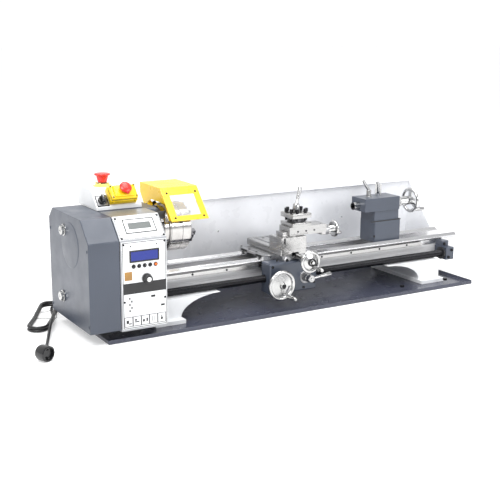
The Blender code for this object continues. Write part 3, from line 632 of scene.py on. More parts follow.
def make_strain_relief():
    """The gland in the housing and the ribbed sleeve that tapers along the lead behind it."""
    keep("cord_gland", "rubber", 0.5)
    bore, flange, length = 3.9, 7.2, 13.8
    sleeve = [(bore, 0.1), (flange, 0.1), (flange, 1.4), (6.2, 2.0)]
    for i in range(3):
        start, rib = 3.6 + 3.4 * i, 6.4 - 0.5 * i
        groove = rib - 0.9
        sleeve += [(groove, start - 0.4), (rib, start), (rib, start + 1.4), (groove, start + 1.8)]
    sleeve += [(4.6, length), (bore, length)]
    form = Form().turned(sleeve[::-1], stand(EXIT, "+y"), 40)
    form.done("cord_relief", "rubber", "machine", RUBBER)


def make_tie():
    """A wire tie round the middle of the hank."""
    centre = HANK_TOP + ALONG_HANK * 88
    outline = []
    reach = 27.4
    for side, height in ((-reach, 4.0), (-reach, 12.0), (-24, 17.0), (0, 17.5), (18, 24.0), (25, 23.6),
                         (reach, 19), (reach, 4), (24, 0.8), (0, 0.8), (-24, 0.8), (-reach, 4.0)):
        outline.append(centre + ACROSS_HANK * side + Vector((0, 0, height)))
    return Form().tube(smooth_path(outline, 3), 0.6, 8).done("hank_tie", "black", "machine", BLACK)


def make_plug(tip, heading):
    """An angled plug: a ribbed strain relief, a drum with a grip, two pins and earth strips."""
    start = tip + heading * 0.9
    flat = Vector((heading.x, heading.y, 0)).normalized()
    centre = Vector((start.x, start.y, 0)) + flat * 62 + Vector((0, 0, 18.3))
    face = (Vector((-flat.y, flat.x, 0)) + flat).normalized()
    relief = [(0, 60), (13.4, 60), (13.8, 50), (12.6, 42), (9.6, 34)]
    for ring in range(5):
        top = 31 - ring * 6
        relief += [(8.4 - ring * 0.6, top), (8.4 - ring * 0.6, top - 3), (6.9 - ring * 0.45, top - 3.4),
                   (6.9 - ring * 0.45, top - 5.6)]
    relief += [(4.7, 1), (4.3, 0), (0, 0)]
    form = Form().turned(relief, stand(start, centre - start), 28)
    drum = stand(centre - face * 15, face)
    barrel = [(0, 24), (13.6, 24), (14.2, 30), (16.2, 30), (18, 28.4), (18, 7), (16.4, 2.6), (12, 0), (0, 0)]
    form.turned(barrel, drum, 44, lambda i, h: 0.965 if 8 < h < 26 and i % 4 == 0 else 1)
    for side in (-9.5, 9.5):
        form.capped(2.3, 22, 29.4, 1.1, 1.2, drum @ Matrix.Translation((0, side, 0)), 16)
    form.box((-3, -14.6, 24), (3, -13.2, 29), 0.3, drum).box((-3, 13.2, 24), (3, 14.6, 29), 0.3, drum)
    return form.done("mains_plug_body", "gloss_black", "machine", BLACK, replaces="mains_plug")


# ---------------------------------------------------------------- headstock end

def make_end_cover():
    keep("end_cover", "grey", 2.2, 3)
    cover = Node("end_cover")
    profile = [(0, 0.9), (52, 0.9), (54.4, 0.6), (55.4, 0.05), (0, 0.05)]
    boss = Form().turned(profile, stand((cover.x0, -32, 222), "-x"), 96)
    boss.done("cover_boss", "grey", "end_cover", GREY)
    corners = ((cover.y0 + 9, 48), (cover.y0 + 9, 226), (cover.y1 - 9, 48), (cover.y1 - 9, 240))
    screws_at("cover_rivets", "grey", "end_cover", GREY, pan_screw, 4.2, 1.6,
              [stand((cover.x0, y, z), "-x") for y, z in corners])
    for name in ("cover_knob_upper", "cover_knob_lower"):
        knob = Node(name)
        profile = [(0, 8.4), (3.4, 8.4), (4.2, 9.6), (9.6, 9.6), (11.6, 8.4), (11.6, 3.4), (12.4, 2.8),
                   (14, 2.4), (14, 0.6), (13.4, 0), (0, 0)]
        knurl = lambda i, h: 0.955 if 3.3 < h < 8.5 and i % 2 else 1.0
        form = Form().turned(profile, stand((knob.x1, knob.y, knob.z), "-x"), 72, knurl)
        form.done(name + "_knurled", "bright", name, ALLOY, replaces=name)


def slope_place(across, up, out):
    """A place on the control box's sloping front: up from its lower edge, out from its face."""
    foot, lean = Vector((0, -146, 244)), math.atan2(49, 46)
    along = Vector((0, math.cos(lean), math.sin(lean)))
    off = Vector((0, -math.sin(lean), math.cos(lean)))
    turn = Matrix.Rotation(lean, 4, "X")
    return Matrix.Translation(Vector((across, 0, 0)) + foot + along * up + off * out) @ turn


def front_place(out):
    """A place on the control panel's face, across along +X and up along +Z, with its own +Z outwards."""
    panel = Node("control_panel")
    return Matrix.Translation((0, panel.y0 - out, 0)) @ Matrix.Rotation(math.pi / 2, 4, "X")


def make_control_box():
    keep("control_housing", "housing", 1.0)
    keep("control_panel", "panel", 0.3)
    panel = Node("control_panel")
    plate, slope = Form(), slope_place(0, 0, 0)
    left, right, length = -526.0, -411.5, 66.0
    plate.box((left, 1.2, 0.15), (right, length - 1, 1.35), 0.5, slope)
    plate.done("display_plate", "panel", "machine", "white_panel")
    lines = Form()
    lines.frame(left + 1.2, 2.4, right - 1.2, length - 2.2, 1.3, 1.3, 1.45, slope)
    face = front_place(0)
    lines.frame(panel.x0 + 1.5, panel.z0 + 1.5, panel.x1 - 1.5, panel.z1 - 1.5, 1.5, -0.05, 0.12, face)
    lines.box((panel.x0 + 1.5, 117, -0.05), (panel.x1 - 1.5, 143, 0.16), 0, face)
    low, high, first, last = 38.5, 62.5, panel.x0 + 3.5, panel.x1 - 3.5
    step = (last - first) / 5
    for i in range(5):
        lines.frame(first + i * step, low, first + (i + 1) * step, high, 1.3, -0.05, 0.16, face)
    lines.done("panel_lines", "ink", "machine", BLACK)
    make_symbols(face, first, step, low)
    make_screens(slope, face)
    screws = Form()
    for x in (panel.x0 + 5, panel.x1 - 5):
        for z in (panel.z1 - 6, panel.z0 + 2.8 + 63):
            pan_screw(screws, 2.6, face @ Matrix.Translation((x, z, 0)), 1.1)
    for x in (-503, -437):
        pan_screw(screws, 1.8, face @ Matrix.Translation((x, 230, 0)), 0.8)
    for x in (left + 5, right - 5):
        for up in (6, length - 6):
            pan_screw(screws, 2.6, slope @ Matrix.Translation((x, up, 1.35)), 1.1)
    screws.done("panel_screws", "dark", "machine", BLACK_STEEL)
    emblem = Form()
    for inner, outer in ((7.2, 7.9), (3.6, 4.0)):
        emblem.ring(inner, outer, 0, 0.1, face @ Matrix.Translation((-470, 231, 0)))
    emblem.done("panel_ring", "pale_ink", "machine", BLACK)
    label = Form().box((-519, 150, 0), (-500, 170.5, 0.25), 0.1, face)
    label.done("plain_label", "amber", "machine", "orange_plastic")


def make_symbols(face, first, step, low):
    """Plain marks: a small sign in each of the five frames, a table and a few rules above them."""
    marks = Form()

    def bar(x, z, width, height):
        marks.box((x, z, -0.03), (x + width, z + height, 0.12), 0, face)

    signs = [[(5, 8, 6, 8), (11, 6, 7, 2.4)], [(5, 9, 11, 2.6), (5, 13, 5, 4)], [(4, 8, 5, 6), (13, 8, 4, 8)],
             [(7, 6, 1.2, 12), (13, 6, 1.2, 12)]]
    for i, sign in enumerate(signs):
        for x, z, width, height in sign:
            bar(first + i * step + x, low + z, width, height)
    middle = first + 4.5 * step
    marks.ring(0.01, 3.2, 0, 0.12, face @ Matrix.Translation((middle, low + 10, 0)), 20)
    bar(middle - 1.2, low + 12, 2.4, 6)
    for i in range(5):
        bar(-509 + 5 * (i % 2), 74 + 7.5 * i, 3.4, 5.2)
    bar(-453, 103, 11, 5.5)
    bar(-428, 79, 10, 4.6)
    marks.done("panel_marks", "ink", "machine", BLACK)
    table = Form()
    table.frame(-462, 84, -418, 99, 0.35, -0.03, 0.08, face)
    table.frame(-502, 98, -482, 106, 0.3, -0.03, 0.08, face)
    table.frame(-448, 69, -418, 75, 0.3, -0.03, 0.08, face)
    for x0, z0, x1, z1 in ((-462, 91.3, -418, 91.7), (-440.2, 84, -439.8, 99), (-496, 158, -486, 158.4),
                           (-441, 160, -421, 160.4), (-438, 104, -420, 104.3)):
        table.box((x0, z0, -0.03), (x1, z1, 0.08), 0, face)
    table.ring(3.2, 3.6, 0, 0.08, face @ Matrix.Translation((-492, 80, 0)), 32)
    for i in range(11):
        angle = math.radians(-135 + 27 * i)
        place = face @ Matrix.Translation((-464, 151, 0)) @ Matrix.Rotation(-angle, 4, "Z")
        table.box((-0.3, 14, -0.03), (0.3, 16.4, 0.08), 0, place)
    table.done("panel_table", "pale_ink", "machine", BLACK)


def make_screens(slope, face):
    bezel = Form()
    bezel.frame(-507, 17, -429, 56, 2.4, 1.3, 2.5, slope)
    bezel.frame(-506, 191.5, -431, 220, 3.4, 0, 1.5, face)
    bezel.done("display_frames", "gloss_black", "machine", BLACK, 0.25)
    mask = Form().frame(-505, 19, -431, 54, 8.6, 1.3, 2.1, slope)
    mask.done("display_bezel", "panel", "machine", "white_panel", 0.2)
    upper = Form().box((-497, 27, 1.3), (-439, 46, 1.75), 0, slope)
    upper.done("upper_display", "grey_lcd", "machine", "display")
    lower = Form().box((-503, 194, 0), (-434, 217.5, 0.7), 0, face)
    lower.done("main_display", "blue", "machine", "display")


def make_controls():
    knob = Node("speed_knob")
    ridge = lambda i, h: 0.94 if h < 16.5 and i % 3 == 0 else 1.0
    body = [(0, 15.6), (9.0, 15.6), (9.8, 14.8), (10.6, 6.4), (12, 5.6), (12, 0.3), (0, 0.3)]
    place = stand((knob.x, knob.y1, knob.z), "-y")
    form = Form().turned(body, place, 60, ridge)
    form.done("speed_knob_body", "black", "speed_knob", BLACK, replaces="speed_knob")
    cap = Form().capped(5.8, 15.5, 17.2, 0.8, 0.7, place, 48)
    cap.box((-0.5, 1.5, 17.1), (0.5, 4.8, 17.45), 0, place)
    cap.done("speed_knob_cap", "bright", "speed_knob", ALLOY)
    for index in range(1, 6):
        name = f"button_{index}"
        node = Node(name)
        look, slot = ("orange", "orange_plastic") if index == 5 else ("gloss_black", BLACK)
        dome = [(0, 4.0), (1.6, 3.9), (2.6, 3.4), (2.95, 2.6), (2.95, 0), (0, 0)]
        cap = Form().turned(dome, stand((node.x, node.y1, node.z), "-y"), 32)
        cap.done(name + "_cap", look, name, slot, replaces=name)
    rings = Form()
    for index in range(1, 6):
        node = Node(f"button_{index}")
        rings.turned([(5.2, 0.4), (5.2, 0.0), (3.3, 0.0), (3.3, 1.2), (4.6, 1.2)],
                     front_place(0) @ Matrix.Translation((node.x, node.z, 0)), 32)
    rings.done("button_rings", "black", "machine", BLACK)


def housing_slope(across, along, out):
    """A place on the switch housing's slope, as in the CAD."""
    lean = math.atan2(40, 36)
    up = Vector((0, math.cos(lean), math.sin(lean)))
    off = Vector((0, -math.sin(lean), math.cos(lean)))
    spot = Vector((across, -8, 300)) + up * along + off * out
    return Matrix.Translation(spot) @ Matrix.Rotation(lean, 4, "X")


def make_switches():
    keep("switch_housing", "white", 1.6, 3)
    plate = housing_slope(-508, 17, 0)
    border = Form().box((-15.5, -15.5, 0.05), (15.5, 15.5, 0.7), 0.3, plate)
    border.done("rotary_border", "gloss_black", "machine", BLACK)
    Form().box((-13, -13, 0.6), (13, 13, 0.95), 0.2, plate).done("rotary_plate", "plate", "machine", STEEL)
    base = housing_slope(-508, 17, 1.5)
    form = Form().capped(10.8, 0, 5, 1.2, 1, base)
    form.box((-3.4, -10.6, 4.5), (3.4, 10.6, 14.6), 1.3, base)
    form.done("rotary_handle", "gloss_black", "rotary_switch", BLACK, replaces="rotary_switch")
    pointer = Form().box((-0.5, 3, 14.5), (0.5, 10, 14.8), 0, base)
    pointer.done("rotary_pointer", "panel", "rotary_switch", "white_panel")
    make_stop_button()
    make_stop_switch()


def make_stop_button():
    """The mushroom on top, hollow underneath so that it clears its neck, over a pale collar with ribs."""
    top = Node("e_stop_button")
    centre = (top.x, top.y, Node("switch_housing").z1)
    head = [(0, 31.0), (6, 31.6), (14, 31.4), (18.6, 30.6), (19.4, 29.4), (19.4, 27.6), (18.2, 26.4),
            (14.6, 25.2), (13.0, 16.5), (11.6, 12.4), (11.2, 9.5), (9.9, 9.5), (9.9, 15.5), (0, 15.5)]
    Form().turned(head, stand(centre), 64).done("e_stop_mushroom", "red", "e_stop_button", "red_plastic",
                                               replaces="e_stop_button")
    collar = Form().turned([(22.5, 1.2), (23, 0.6), (23, 0.05), (8, 0.05), (8, 1.2)], stand(centre), 64)
    collar.turned([(15.0, 6.8), (15.8, 6.4), (16.4, 1.1), (13.8, 1.1), (13.8, 6.8)], stand(centre), 64)
    for i in range(4):
        place = stand(centre, "+z", math.radians(45 + 90 * i))
        collar.box((14.5, -2.4, 1.1), (17.8, 2.4, 9.0), 0.5, place)
    collar.done("e_stop_collar", "pale_yellow", "machine", "yellow_plastic")
    neck = Form().disc(9.5, 1.1, 9.2, stand(centre), 40)
    neck.done("e_stop_neck", "black", "machine", BLACK)


def make_stop_switch():
    box = housing_slope(-458, 25, 0.3)
    form = Form().box((-35, -22, 0), (35, 22, 16), 3.2, box, 3)
    for x in (-28, 28):
        form.disc(4.2, 12, 15.7, box @ Matrix.Translation((x, -19.5, 0)))
    form.done("stop_box_shell", "yellow_plastic", "machine", "yellow_plastic", replaces="stop_switch_box")
    lid = housing_slope(-458, 44, 16.6)
    body = "stop_switch_lid"
    corners = [(x, y) for x in (-30, 30) for y in (-35.0, -5.0)]
    form = Form().box((-34, -40, 0.9), (34, -1.8, 9.4), 3.4, lid, 3)
    form.box((-26, -36, 7), (26, -3, 13.6), 4.0, lid, 3)
    for x, y in corners:
        form.disc(3.6, 6, 10.2, lid @ Matrix.Translation((x, y, 0)))
    form.done("stop_lid_shell", "yellow_plastic", body, "yellow_plastic", replaces=body)
    gasket = Form().box((-33.4, -39, 0.2), (33.4, -1.9, 0.9), 0.2, lid)
    gasket.done("stop_gasket", "rubber", body, RUBBER)
    place = lid @ Matrix.Translation((2, -18, 0))
    head = [(0, 28.6), (6, 28.4), (11.5, 27), (15, 24.2), (15, 21.6), (12, 19.2), (8.4, 18), (8.4, 13.5),
            (0, 13.5)]
    form = Form().turned(head, place, 56)
    form.box((-1.6, -16.6, 18.5), (5.6, -10, 23.4), 1.4, place)
    form.done("stop_mushroom", "red", body, "red_plastic")
    hinge = Form().rod(1.3, lid @ Vector((-30, 0, 0)), 60, "+x", 0.2, 16)
    hinge.done("stop_hinge_pin", "dark", "machine", BLACK_STEEL)
    screws_at("stop_lid_screws", "dark", body, BLACK_STEEL, pan_screw, 2.4, 0.9,
              [lid @ Matrix.Translation((x, y, 10.1)) for x, y in corners])


def make_guard():
    keep("chuck_guard", "yellow", 0.8, 2)
    lean = math.atan2(331 - 258, 8 + 58)
    place = Matrix.Translation((0, -58, 258)) @ Matrix.Rotation(lean, 4, "X")
    pane = Form().box((-336.5, 11.5, -3.6), (-263.5, 78.5, -2.2), 0, place)
    pane.done("guard_pane", "window", "chuck_guard", "clear_window")
    screws_at("guard_screws", "dark", "chuck_guard", BLACK_STEEL, pan_screw, 3.0, 1.6,
              [place @ Matrix.Translation((x, up, 0.1)) for x in (-339.5, -260.5) for up in (8.5, 81.5)])
    hood = Node("chuck_guard")
    lip = Form().box((hood.x1 - 2.0, 6, -7.5), (hood.x1, 92, -1.5), 0.4, place)
    lip.done("guard_lip", "yellow", "chuck_guard", "yellow_paint")
    pivot_y, pivot_z = 88, 276
    pivot = Form().capped(7.5, 0, 8, 1.5, 1.5, stand((-339.5, pivot_y, pivot_z), "+x"), 32)
    pivot.capped(10, 8, 14, 1, 1, stand((-341, pivot_y, pivot_z), "+x"), 6)
    pivot.done("guard_pivot_nut", "dark", "machine", BLACK_STEEL)
    # The thin black plate on the headstock's front face is painted shade that darkens the corner left of the
    # guard; the bar reaching forward from it is the guard switch's arm.
    arm = Form().box((-408, -30, 262), (-356, -27.2, 281), 0.6).box((-408, -90, 271), (-404.5, -30, 286), 0.6)
    arm.done("guard_arm_and_shade_plate", "black", "machine", BLACK)


def make_headstock():
    keep("headstock", "grey", 2.5, 3)
    keep("spindle", "spindle", 0.8)
    for name in ("front_bearing", "rear_bearing"):
        keep(name, "steel", 0.5)
    keep("motor", "motor", 1.5)
    keep("motor_pulley", "spindle", 0.4)
    keep("drive_belt", "rubber", 0.3)
    keep("gear_quadrant", "cast", 1.0)
    for name in ("spindle_gear", "idler_gear", "leadscrew_gear"):
        keep(name, "steel", 0.25)
    keep("chuck_body", "chuck", 0.8, 3)
    chuck = Node("chuck_body")
    for index in range(1, 4):
        keep(f"jaw_{index}", "jaw", 0.5, 2)
    details = Form()
    for x in (chuck.x0 + 15, chuck.x0 + 46):
        details.ring(61.8, 62.62, 0, 0.9, stand((x, chuck.y, chuck.z), "+x"), 120)
    details.done("chuck_grooves", "dark", "spindle", BLACK_STEEL)
    rims, socket_hole_shade, bolts = Form(), Form(), Form()
    key_x, key_radius, back_bolts, face_bolts = -311, 62.3, 55, 44
    for index in range(3):
        angle = math.radians(158 + 120 * index)
        off = Vector((0, math.cos(angle), math.sin(angle)))
        middle = Vector((0, chuck.y, chuck.z))
        place = stand(middle + Vector((key_x, 0, 0)) + off * key_radius, off, math.radians(45))
        rims.turned([(7.0, 0.5), (7.4, 0.0), (7.4, -1.6), (5.5, -1.6), (5.5, 0.5)], place, 40)
        # Painted shade: a dark disc fills each key socket in place of the square hole, which is not cut.
        socket_hole_shade.disc(5.5, -1.2, 0.15, place, 32)
        away = Vector((0, math.cos(angle + 1.05), math.sin(angle + 1.05)))
        socket_screw(bolts, 3.0, stand(middle + Vector((chuck.x0, 0, 0)) + away * back_bolts, "-x"), 1.6)
        socket_screw(bolts, 4.2, stand(middle + Vector((chuck.x1, 0, 0)) + away * face_bolts, "+x"), 0.4)
        square = place @ Matrix.Rotation(math.radians(45), 4, "Z")
        rims.frame(-4.4, -4.4, 4.4, 4.4, 1.0, -0.8, 0.35, square)
    rims.done("chuck_socket_rims", "jaw", "spindle", STEEL)
    socket_hole_shade.done("chuck_key_hole_shade", "dark", "spindle", BLACK_STEEL)
    bolts.done("chuck_screws", "dark", "spindle", BLACK_STEEL)


# ---------------------------------------------------------------- bed, tray, leadscrew

def make_bed():
    keep("bed", "bed", 0.8, 2)
    keep("chip_tray", "tray", 2.6, 4)
    keep("left_foot", "white", 3.0, 3)
    keep("right_foot", "white", 3.0, 3)
    keep("splash_guard", "sheet", 0.4, 2)
    rack = Node("rack")
    pitch, depth = 4.0, 3.6
    outline = [(rack.x0, rack.z1), (rack.x0, rack.z0)]
    count = int((rack.x1 - rack.x0 - 2) / pitch)
    for i in range(count):
        x = rack.x0 + 1 + i * pitch
        outline += [(x, rack.z0), (x + 0.9, rack.z0 + depth), (x + 2.0, rack.z0 + depth), (x + 2.9, rack.z0)]
    outline += [(rack.x1, rack.z0), (rack.x1, rack.z1)]
    place = Matrix.Translation((0, rack.y1, 0)) @ Matrix.Rotation(math.pi / 2, 4, "X")
    teeth = Form().prism(outline, 0, rack.y1 - rack.y0, place)
    teeth.done("toothed_rack", "steel", "machine", STEEL, replaces="rack")
    screws = Form()
    for i in range(8):
        socket_screw(screws, 3.0, stand((422 - 100 * i, rack.y0, rack.z1 - 4.0), "-y"), 0.5)
    foot_top = 13.0
    for x, y in ((338, -108), (338, 158), (496, -108), (496, 158), (-335, 158)):
        screws.capped(6.5, 0, 6, 0.5, 0.6, stand((x, y, foot_top)), 6)
    screws.done("bed_screws", "dark", "machine", BLACK_STEEL)
    make_guard_fixings()


def make_guard_fixings():
    """Rivets along the splash guard's foot and the fold that stiffens its top."""
    guard = Node("splash_guard")
    screws_at("guard_rivets", "bright", "machine", STEEL, pan_screw, 3.2, 1.0,
              [stand((x, 149.0, 172), "-y") for x in (-320, -110, 100, 310, 520)])
    hem = Form().tube([(guard.x0 + 1, 142.2, 265.2), (559, 142.2, 265.2)], 1.7, 12)
    hem.done("guard_hem", "sheet", "machine", "guard_sheet")


def make_leadscrew():
    """A cut thread: the crest runs round as a helix between plain ends."""
    screw = Node("leadscrew")
    radius, pitch, depth, sides, steps = 10.0, 4.0, 1.1, 20, 5
    first, last = screw.x0 + 75, screw.x1 - 26
    count = int((last - first) / pitch * steps)
    form, rows = Form(), []
    neck, shoulder = 7, screw.x0 + 70
    stations = [(screw.x0, neck, 0), (shoulder, neck, 0), (shoulder + 0.1, radius, 0)]
    stations.append((first - 0.2, radius, 0))
    stations += [(first + i * pitch / steps, radius, depth) for i in range(count)]
    stations += [(last + 0.2, radius, 0), (screw.x1, radius, 0)]
    for x, r, cut in stations:
        row = []
        for k in range(sides):
            turn = k / sides
            phase = (x / pitch - turn) % 1.0
            form_depth = cut * min(1.0, max(0.0, (abs(phase - 0.5) - 0.12) / 0.18))
            a = 2 * math.pi * turn
            row.append(form.mesh.verts.new((x, screw.y + (r - form_depth) * math.cos(a),
                                            screw.z + (r - form_depth) * math.sin(a))))
        rows.append(row)
    for a, b in zip(rows, rows[1:]):
        for k in range(sides):
            n = (k + 1) % sides
            form.mesh.faces.new((a[k], a[n], b[n], b[k]))
    form.mesh.faces.new(rows[0][::-1])
    form.mesh.faces.new(rows[-1])
    form.done("leadscrew_thread", "dark", "leadscrew", BLACK_STEEL, angle=30, replaces="leadscrew")
    keep("leadscrew_bracket", "grey", 2.0, 3)
    bracket = Node("leadscrew_bracket")
    screws = Form()
    socket_screw(screws, 4.2, stand((548, -40, 102), "-y"), 3.0)
    socket_screw(screws, 4.2, stand((558, bracket.y0, 86), "-y"), 2.6)
    socket_screw(screws, 4.2, stand((547, bracket.y0, 66), "-y"), 2.6)
    screws.done("bracket_screws", "dark", "machine", BLACK_STEEL)
    seat = stand((bracket.x0 - 6.1, screw.y, screw.z), "+x")
    flange = Form().turned([(17, 6), (18, 5), (18, 0), (10.4, 0), (10.4, 6)], seat, 48)
    flange.done("bracket_flange", "black", "machine", BLACK)


# ---------------------------------------------------------------- carriage

def wheel_profile(radius, hub, dish, reach):
    """The outside of a dished wheel: hub cap, dish, round rim, back and the long hub behind it."""
    rim = []
    for step in range(13):
        angle = math.radians(150 - 24 * step)
        rim.append((radius - 4.6 + 4.6 * math.cos(angle), 4.6 + 4.4 * math.sin(angle)))
    top = dish + 5.6
    front = [(0, top), (6.5, top), (7.6, top - 0.7), (8, top - 2), (9.2, dish - 0.8),
             (0.5 * radius, dish * 0.45 + 2.2), (radius - 10, 4.2)]
    back = [(radius - 9.6, 1.4), (hub + 1, dish - 5.4), (hub, dish - 6.4), (hub, 0.6 - reach),
            (hub - 0.6, -reach), (0, -reach)]
    return front + rim + back


def make_wheel(node, finish, radius, centre, axis, grip, handle, reach, dish, hub):
    """A handwheel that stands for its CAD node, with a grip on its rim."""
    place = stand(centre, axis)
    form = Form().turned(wheel_profile(radius, hub, dish, reach), place, 96)
    form.done(node + "_rim", finish, node, ALLOY, angle=50, replaces=node)
    spot = Vector(centre) + Vector(grip)
    profile = [(0, handle), (3.4, handle), (4.6, handle - 1.4), (5.3, handle - 6), (5.4, handle * 0.62),
               (4.7, handle * 0.4), (3.9, 14), (4.3, 11), (4.5, 9.4), (3.1, 8.6), (3.1, 3), (0, 3)]
    Form().turned(profile, stand(spot, axis), 40).done(node + "_grip", "grip", node, STEEL)
    cup = [(0, 1.6), (3.0, 1.6), (3.0, 0.2), (4.6, 0.2), (5.6, 1.7), (6.2, 1.7), (6.2, 0), (0, 0)]
    nut = Form().turned(cup, place @ Matrix.Translation((0, 0, dish + 5.5)), 40)
    nut.done(node + "_nut", "dark", node, BLACK_STEEL)
    return place


def make_wheels():
    place = make_wheel("apron_handwheel", "apron_wheel", radius=40.5, centre=(-55, -91, 66), axis="-y",
                       grip=(14, 0, -28.7), handle=50, reach=17.7, dish=9, hub=13)
    pocket = [(7, -2), (26, -3), (15, -22)]
    Form().prism(pocket, 4.2, 6.6, place).done("apron_wheel_pocket", "jaw", "apron_handwheel", ALLOY, 0.6)
    place = make_wheel("cross_feed_handwheel", "cross_wheel", radius=30, centre=(8, -128, 130), axis="-y",
                       grip=(12.5, 0, -17), handle=42, reach=69.7, dish=9, hub=9.5)
    collar = Form().turned([(9.5, 15.6), (10.2, 15.4), (10.6, 14.2), (10.6, 8), (9.5, 8)], place, 48)
    collar.done("cross_wheel_collar", "black", "cross_feed_handwheel", BLACK)
    nut = Form().capped(5.2, 15, 19.6, 0.8, 0.8, place, 6)
    nut.done("cross_wheel_nut", "bright", "cross_feed_handwheel", STEEL, 0.4)
    make_dial("cross_feed_handwheel", stand((8, -110.6, 130), "-y"), 16.5, 11)
    make_wheel("top_slide_handwheel", "top_wheel", radius=23, centre=(150, -28, 185), axis="+x",
               grip=(0, 4, -14), handle=32, reach=31.7, dish=8, hub=9.5)
    make_dial("top_slide_handwheel", stand((119, -28, 185), "+x"), 14, 12)


def make_dial(body, place, radius, width):
    """A graduated collar: a satin ring with a fine mark every ninth degree, and a knurled lock ring."""
    ring = Form().turned([(radius - 0.4, width), (radius, width - 0.5), (radius, 0.5), (radius - 0.4, 0),
                          (8.5, 0), (8.5, width)], place, 80)
    ring.done(body + "_dial", "plate", body, STEEL)
    knurl = lambda i, h: 0.96 if i % 2 else 1.0
    lock = Form().ring(8.4, radius - 1, width + 0.3, width + 4.4, place, 72, knurl)
    lock.done(body + "_lock", "bright", body, STEEL)
    marks = Form()
    for i in range(40):
        long = 5.5 if i % 5 == 0 else 3.2
        spot = place @ Matrix.Rotation(math.radians(9 * i), 4, "Z")
        marks.box((radius - 0.2, -0.2, width - 0.6 - long), (radius + 0.06, 0.2, width - 0.6), 0, spot)
    marks.done(body + "_marks", "ink", body, BLACK)


def make_carriage():
    keep("saddle", "cast", 1.0)
    keep("apron", "grey", 1.8, 3)
    saddle, apron = Node("saddle"), Node("apron")
    screws = Form()
    for x, z in ((apron.x1 - 9, 110), (apron.x1 - 9, 56), (apron.x1 - 42, 46), (apron.x0 + 8, 112)):
        socket_screw(screws, 3.6, stand((x, apron.y0, z), "-y"), 1.8)
    for x in (saddle.x0 + 8, saddle.x1 - 8):
        for y in (saddle.y0 + 9, 22, 60, saddle.y1 - 9):
            socket_screw(screws, 3.0, stand((x, y, saddle.z1)), 1.2)
    for x in (saddle.x0 + 22, saddle.x1 - 26):
        pan_screw(screws, 2.8, stand((x, saddle.y0, 124), "-y"), 1.2)
    screws.done("carriage_screws", "dark", "carriage", BLACK_STEEL)
    wipers = Form()
    for side, x in ((-1, saddle.x0), (1, saddle.x1)):
        for y0, y1 in ((-16, 10), (60, 86)):
            low, high = sorted((x, x + side * 3.2))
            wipers.box((low, y0, 126.6), (high, y1, 132.2), 0.6)
    wipers.done("way_wipers", "rubber", "carriage", RUBBER)
    seat = stand((-19, saddle.y0, 122), "-y")
    Form().capped(8.6, 0.1, 5.6, 1, 1, seat).done("saddle_boss", "cast", "carriage", STEEL)
    bolt = Form().capped(5.2, 5.0, 6.4, 0.6, 0.6, seat, 6)
    bolt.done("saddle_boss_bolt", "dark", "carriage", BLACK_STEEL, 0.3)
    oiler = Form()
    cup = [(0, 0.3), (1.6, 0.5), (2.2, 1.2), (3.2, 0.9), (3.4, 0), (0, 0)]
    for x, y in ((saddle.x0 + 15, -30), (saddle.x1 - 14, -30), (saddle.x1 - 14, 88)):
        oiler.turned(cup, stand((x, y, saddle.z1)), 28)
    oiler.done("oil_cups", "bright", "carriage", STEEL)


def make_half_nut():
    lever = Node("half_nut_lever")
    hub = (34, -73, 74)
    form = Form().turned([(0, 30.6), (8.6, 30.6), (10, 29.2), (10, 17), (11.6, 15.5), (11.6, 0.6), (0, 0.6)],
                         stand(hub, "-y"), 48)
    start, end = Vector((40, lever.y0 + 8, 74)), Vector((98, lever.y0 + 8.5, 80))
    form.tube([start, start.lerp(end, 0.4), start.lerp(end, 0.42), end.lerp(start, 0.04), end],
              [3.6, 3.6, 4.8, 6.2, 5.0], 28)
    form.done("half_nut_arm", "grip", "half_nut_lever", STEEL, replaces="half_nut_lever")
    pin = Form().capped(3.4, 0, 1.4, 0.8, 0.8, stand((34, -103.5, 74), "-y"), 24)
    pin.done("half_nut_pin", "bright", "half_nut_lever", BLACK_STEEL)
    escutcheon = Form().turned([(17, 0.9), (17.8, 0.1), (12.4, 0.1), (12.4, 0.9)], stand(hub, "-y"), 64)
    escutcheon.done("half_nut_plate", "plate", "carriage", STEEL)


def make_slides():
    keep("cross_slide", "steel_y", 0.7)
    keep("compound_base", "steel", 0.6)
    keep("top_slide", "steel", 0.8)
    cross, base, top = Node("cross_slide"), Node("compound_base"), Node("top_slide")
    screws = Form()
    for y in (-44, -14, 30, 62, 94):
        socket_screw(screws, 2.2, stand((cross.x1, y, 141), "+x"), 0.7)
        pan_screw(screws, 1.0, stand((cross.x1, y, 147), "+x"), 0.3)
    screws.box((cross.x0 + 9, -59.9, 166), (cross.x0 + 14, -57.5, 181.5), 0.5)
    for y in (22, 96):
        socket_screw(screws, 3.4, stand((4, y, 151)), 0.5)
    screws.done("cross_slide_screws", "dark", "cross_slide", BLACK_STEEL)
    slots = Form()
    slots.box((-18, 12, 150.9), (-12.5, 112, 151.25), 0.1).box((20.5, 12, 150.9), (26, 112, 151.25), 0.1)
    slots.done("cross_slide_slots", "jaw", "cross_slide", BLACK_STEEL)
    gibs = Form()
    for x in (top.x0 + 26, top.x0 + 52, top.x0 + 78):
        socket_screw(gibs, 2.4, stand((x, top.y0, 194), "-y"), 0.8)
    pan_screw(gibs, 1.9, stand((top.x1 - 16, top.y0 + 14, top.z1)), 0.7)
    gibs.done("gib_screws", "dark", "top_slide", BLACK_STEEL)
    scale = Form()
    for i in range(19):
        long = 5.0 if i % 3 == 0 else 3.0
        x = base.x0 + 10 + i * 3.4
        scale.box((x, base.y0 - 0.05, 185.4), (x + 0.35, base.y0 + 0.1, 185.4 + long), 0)
    scale.done("swivel_scale", "ink", "compound", BLACK)


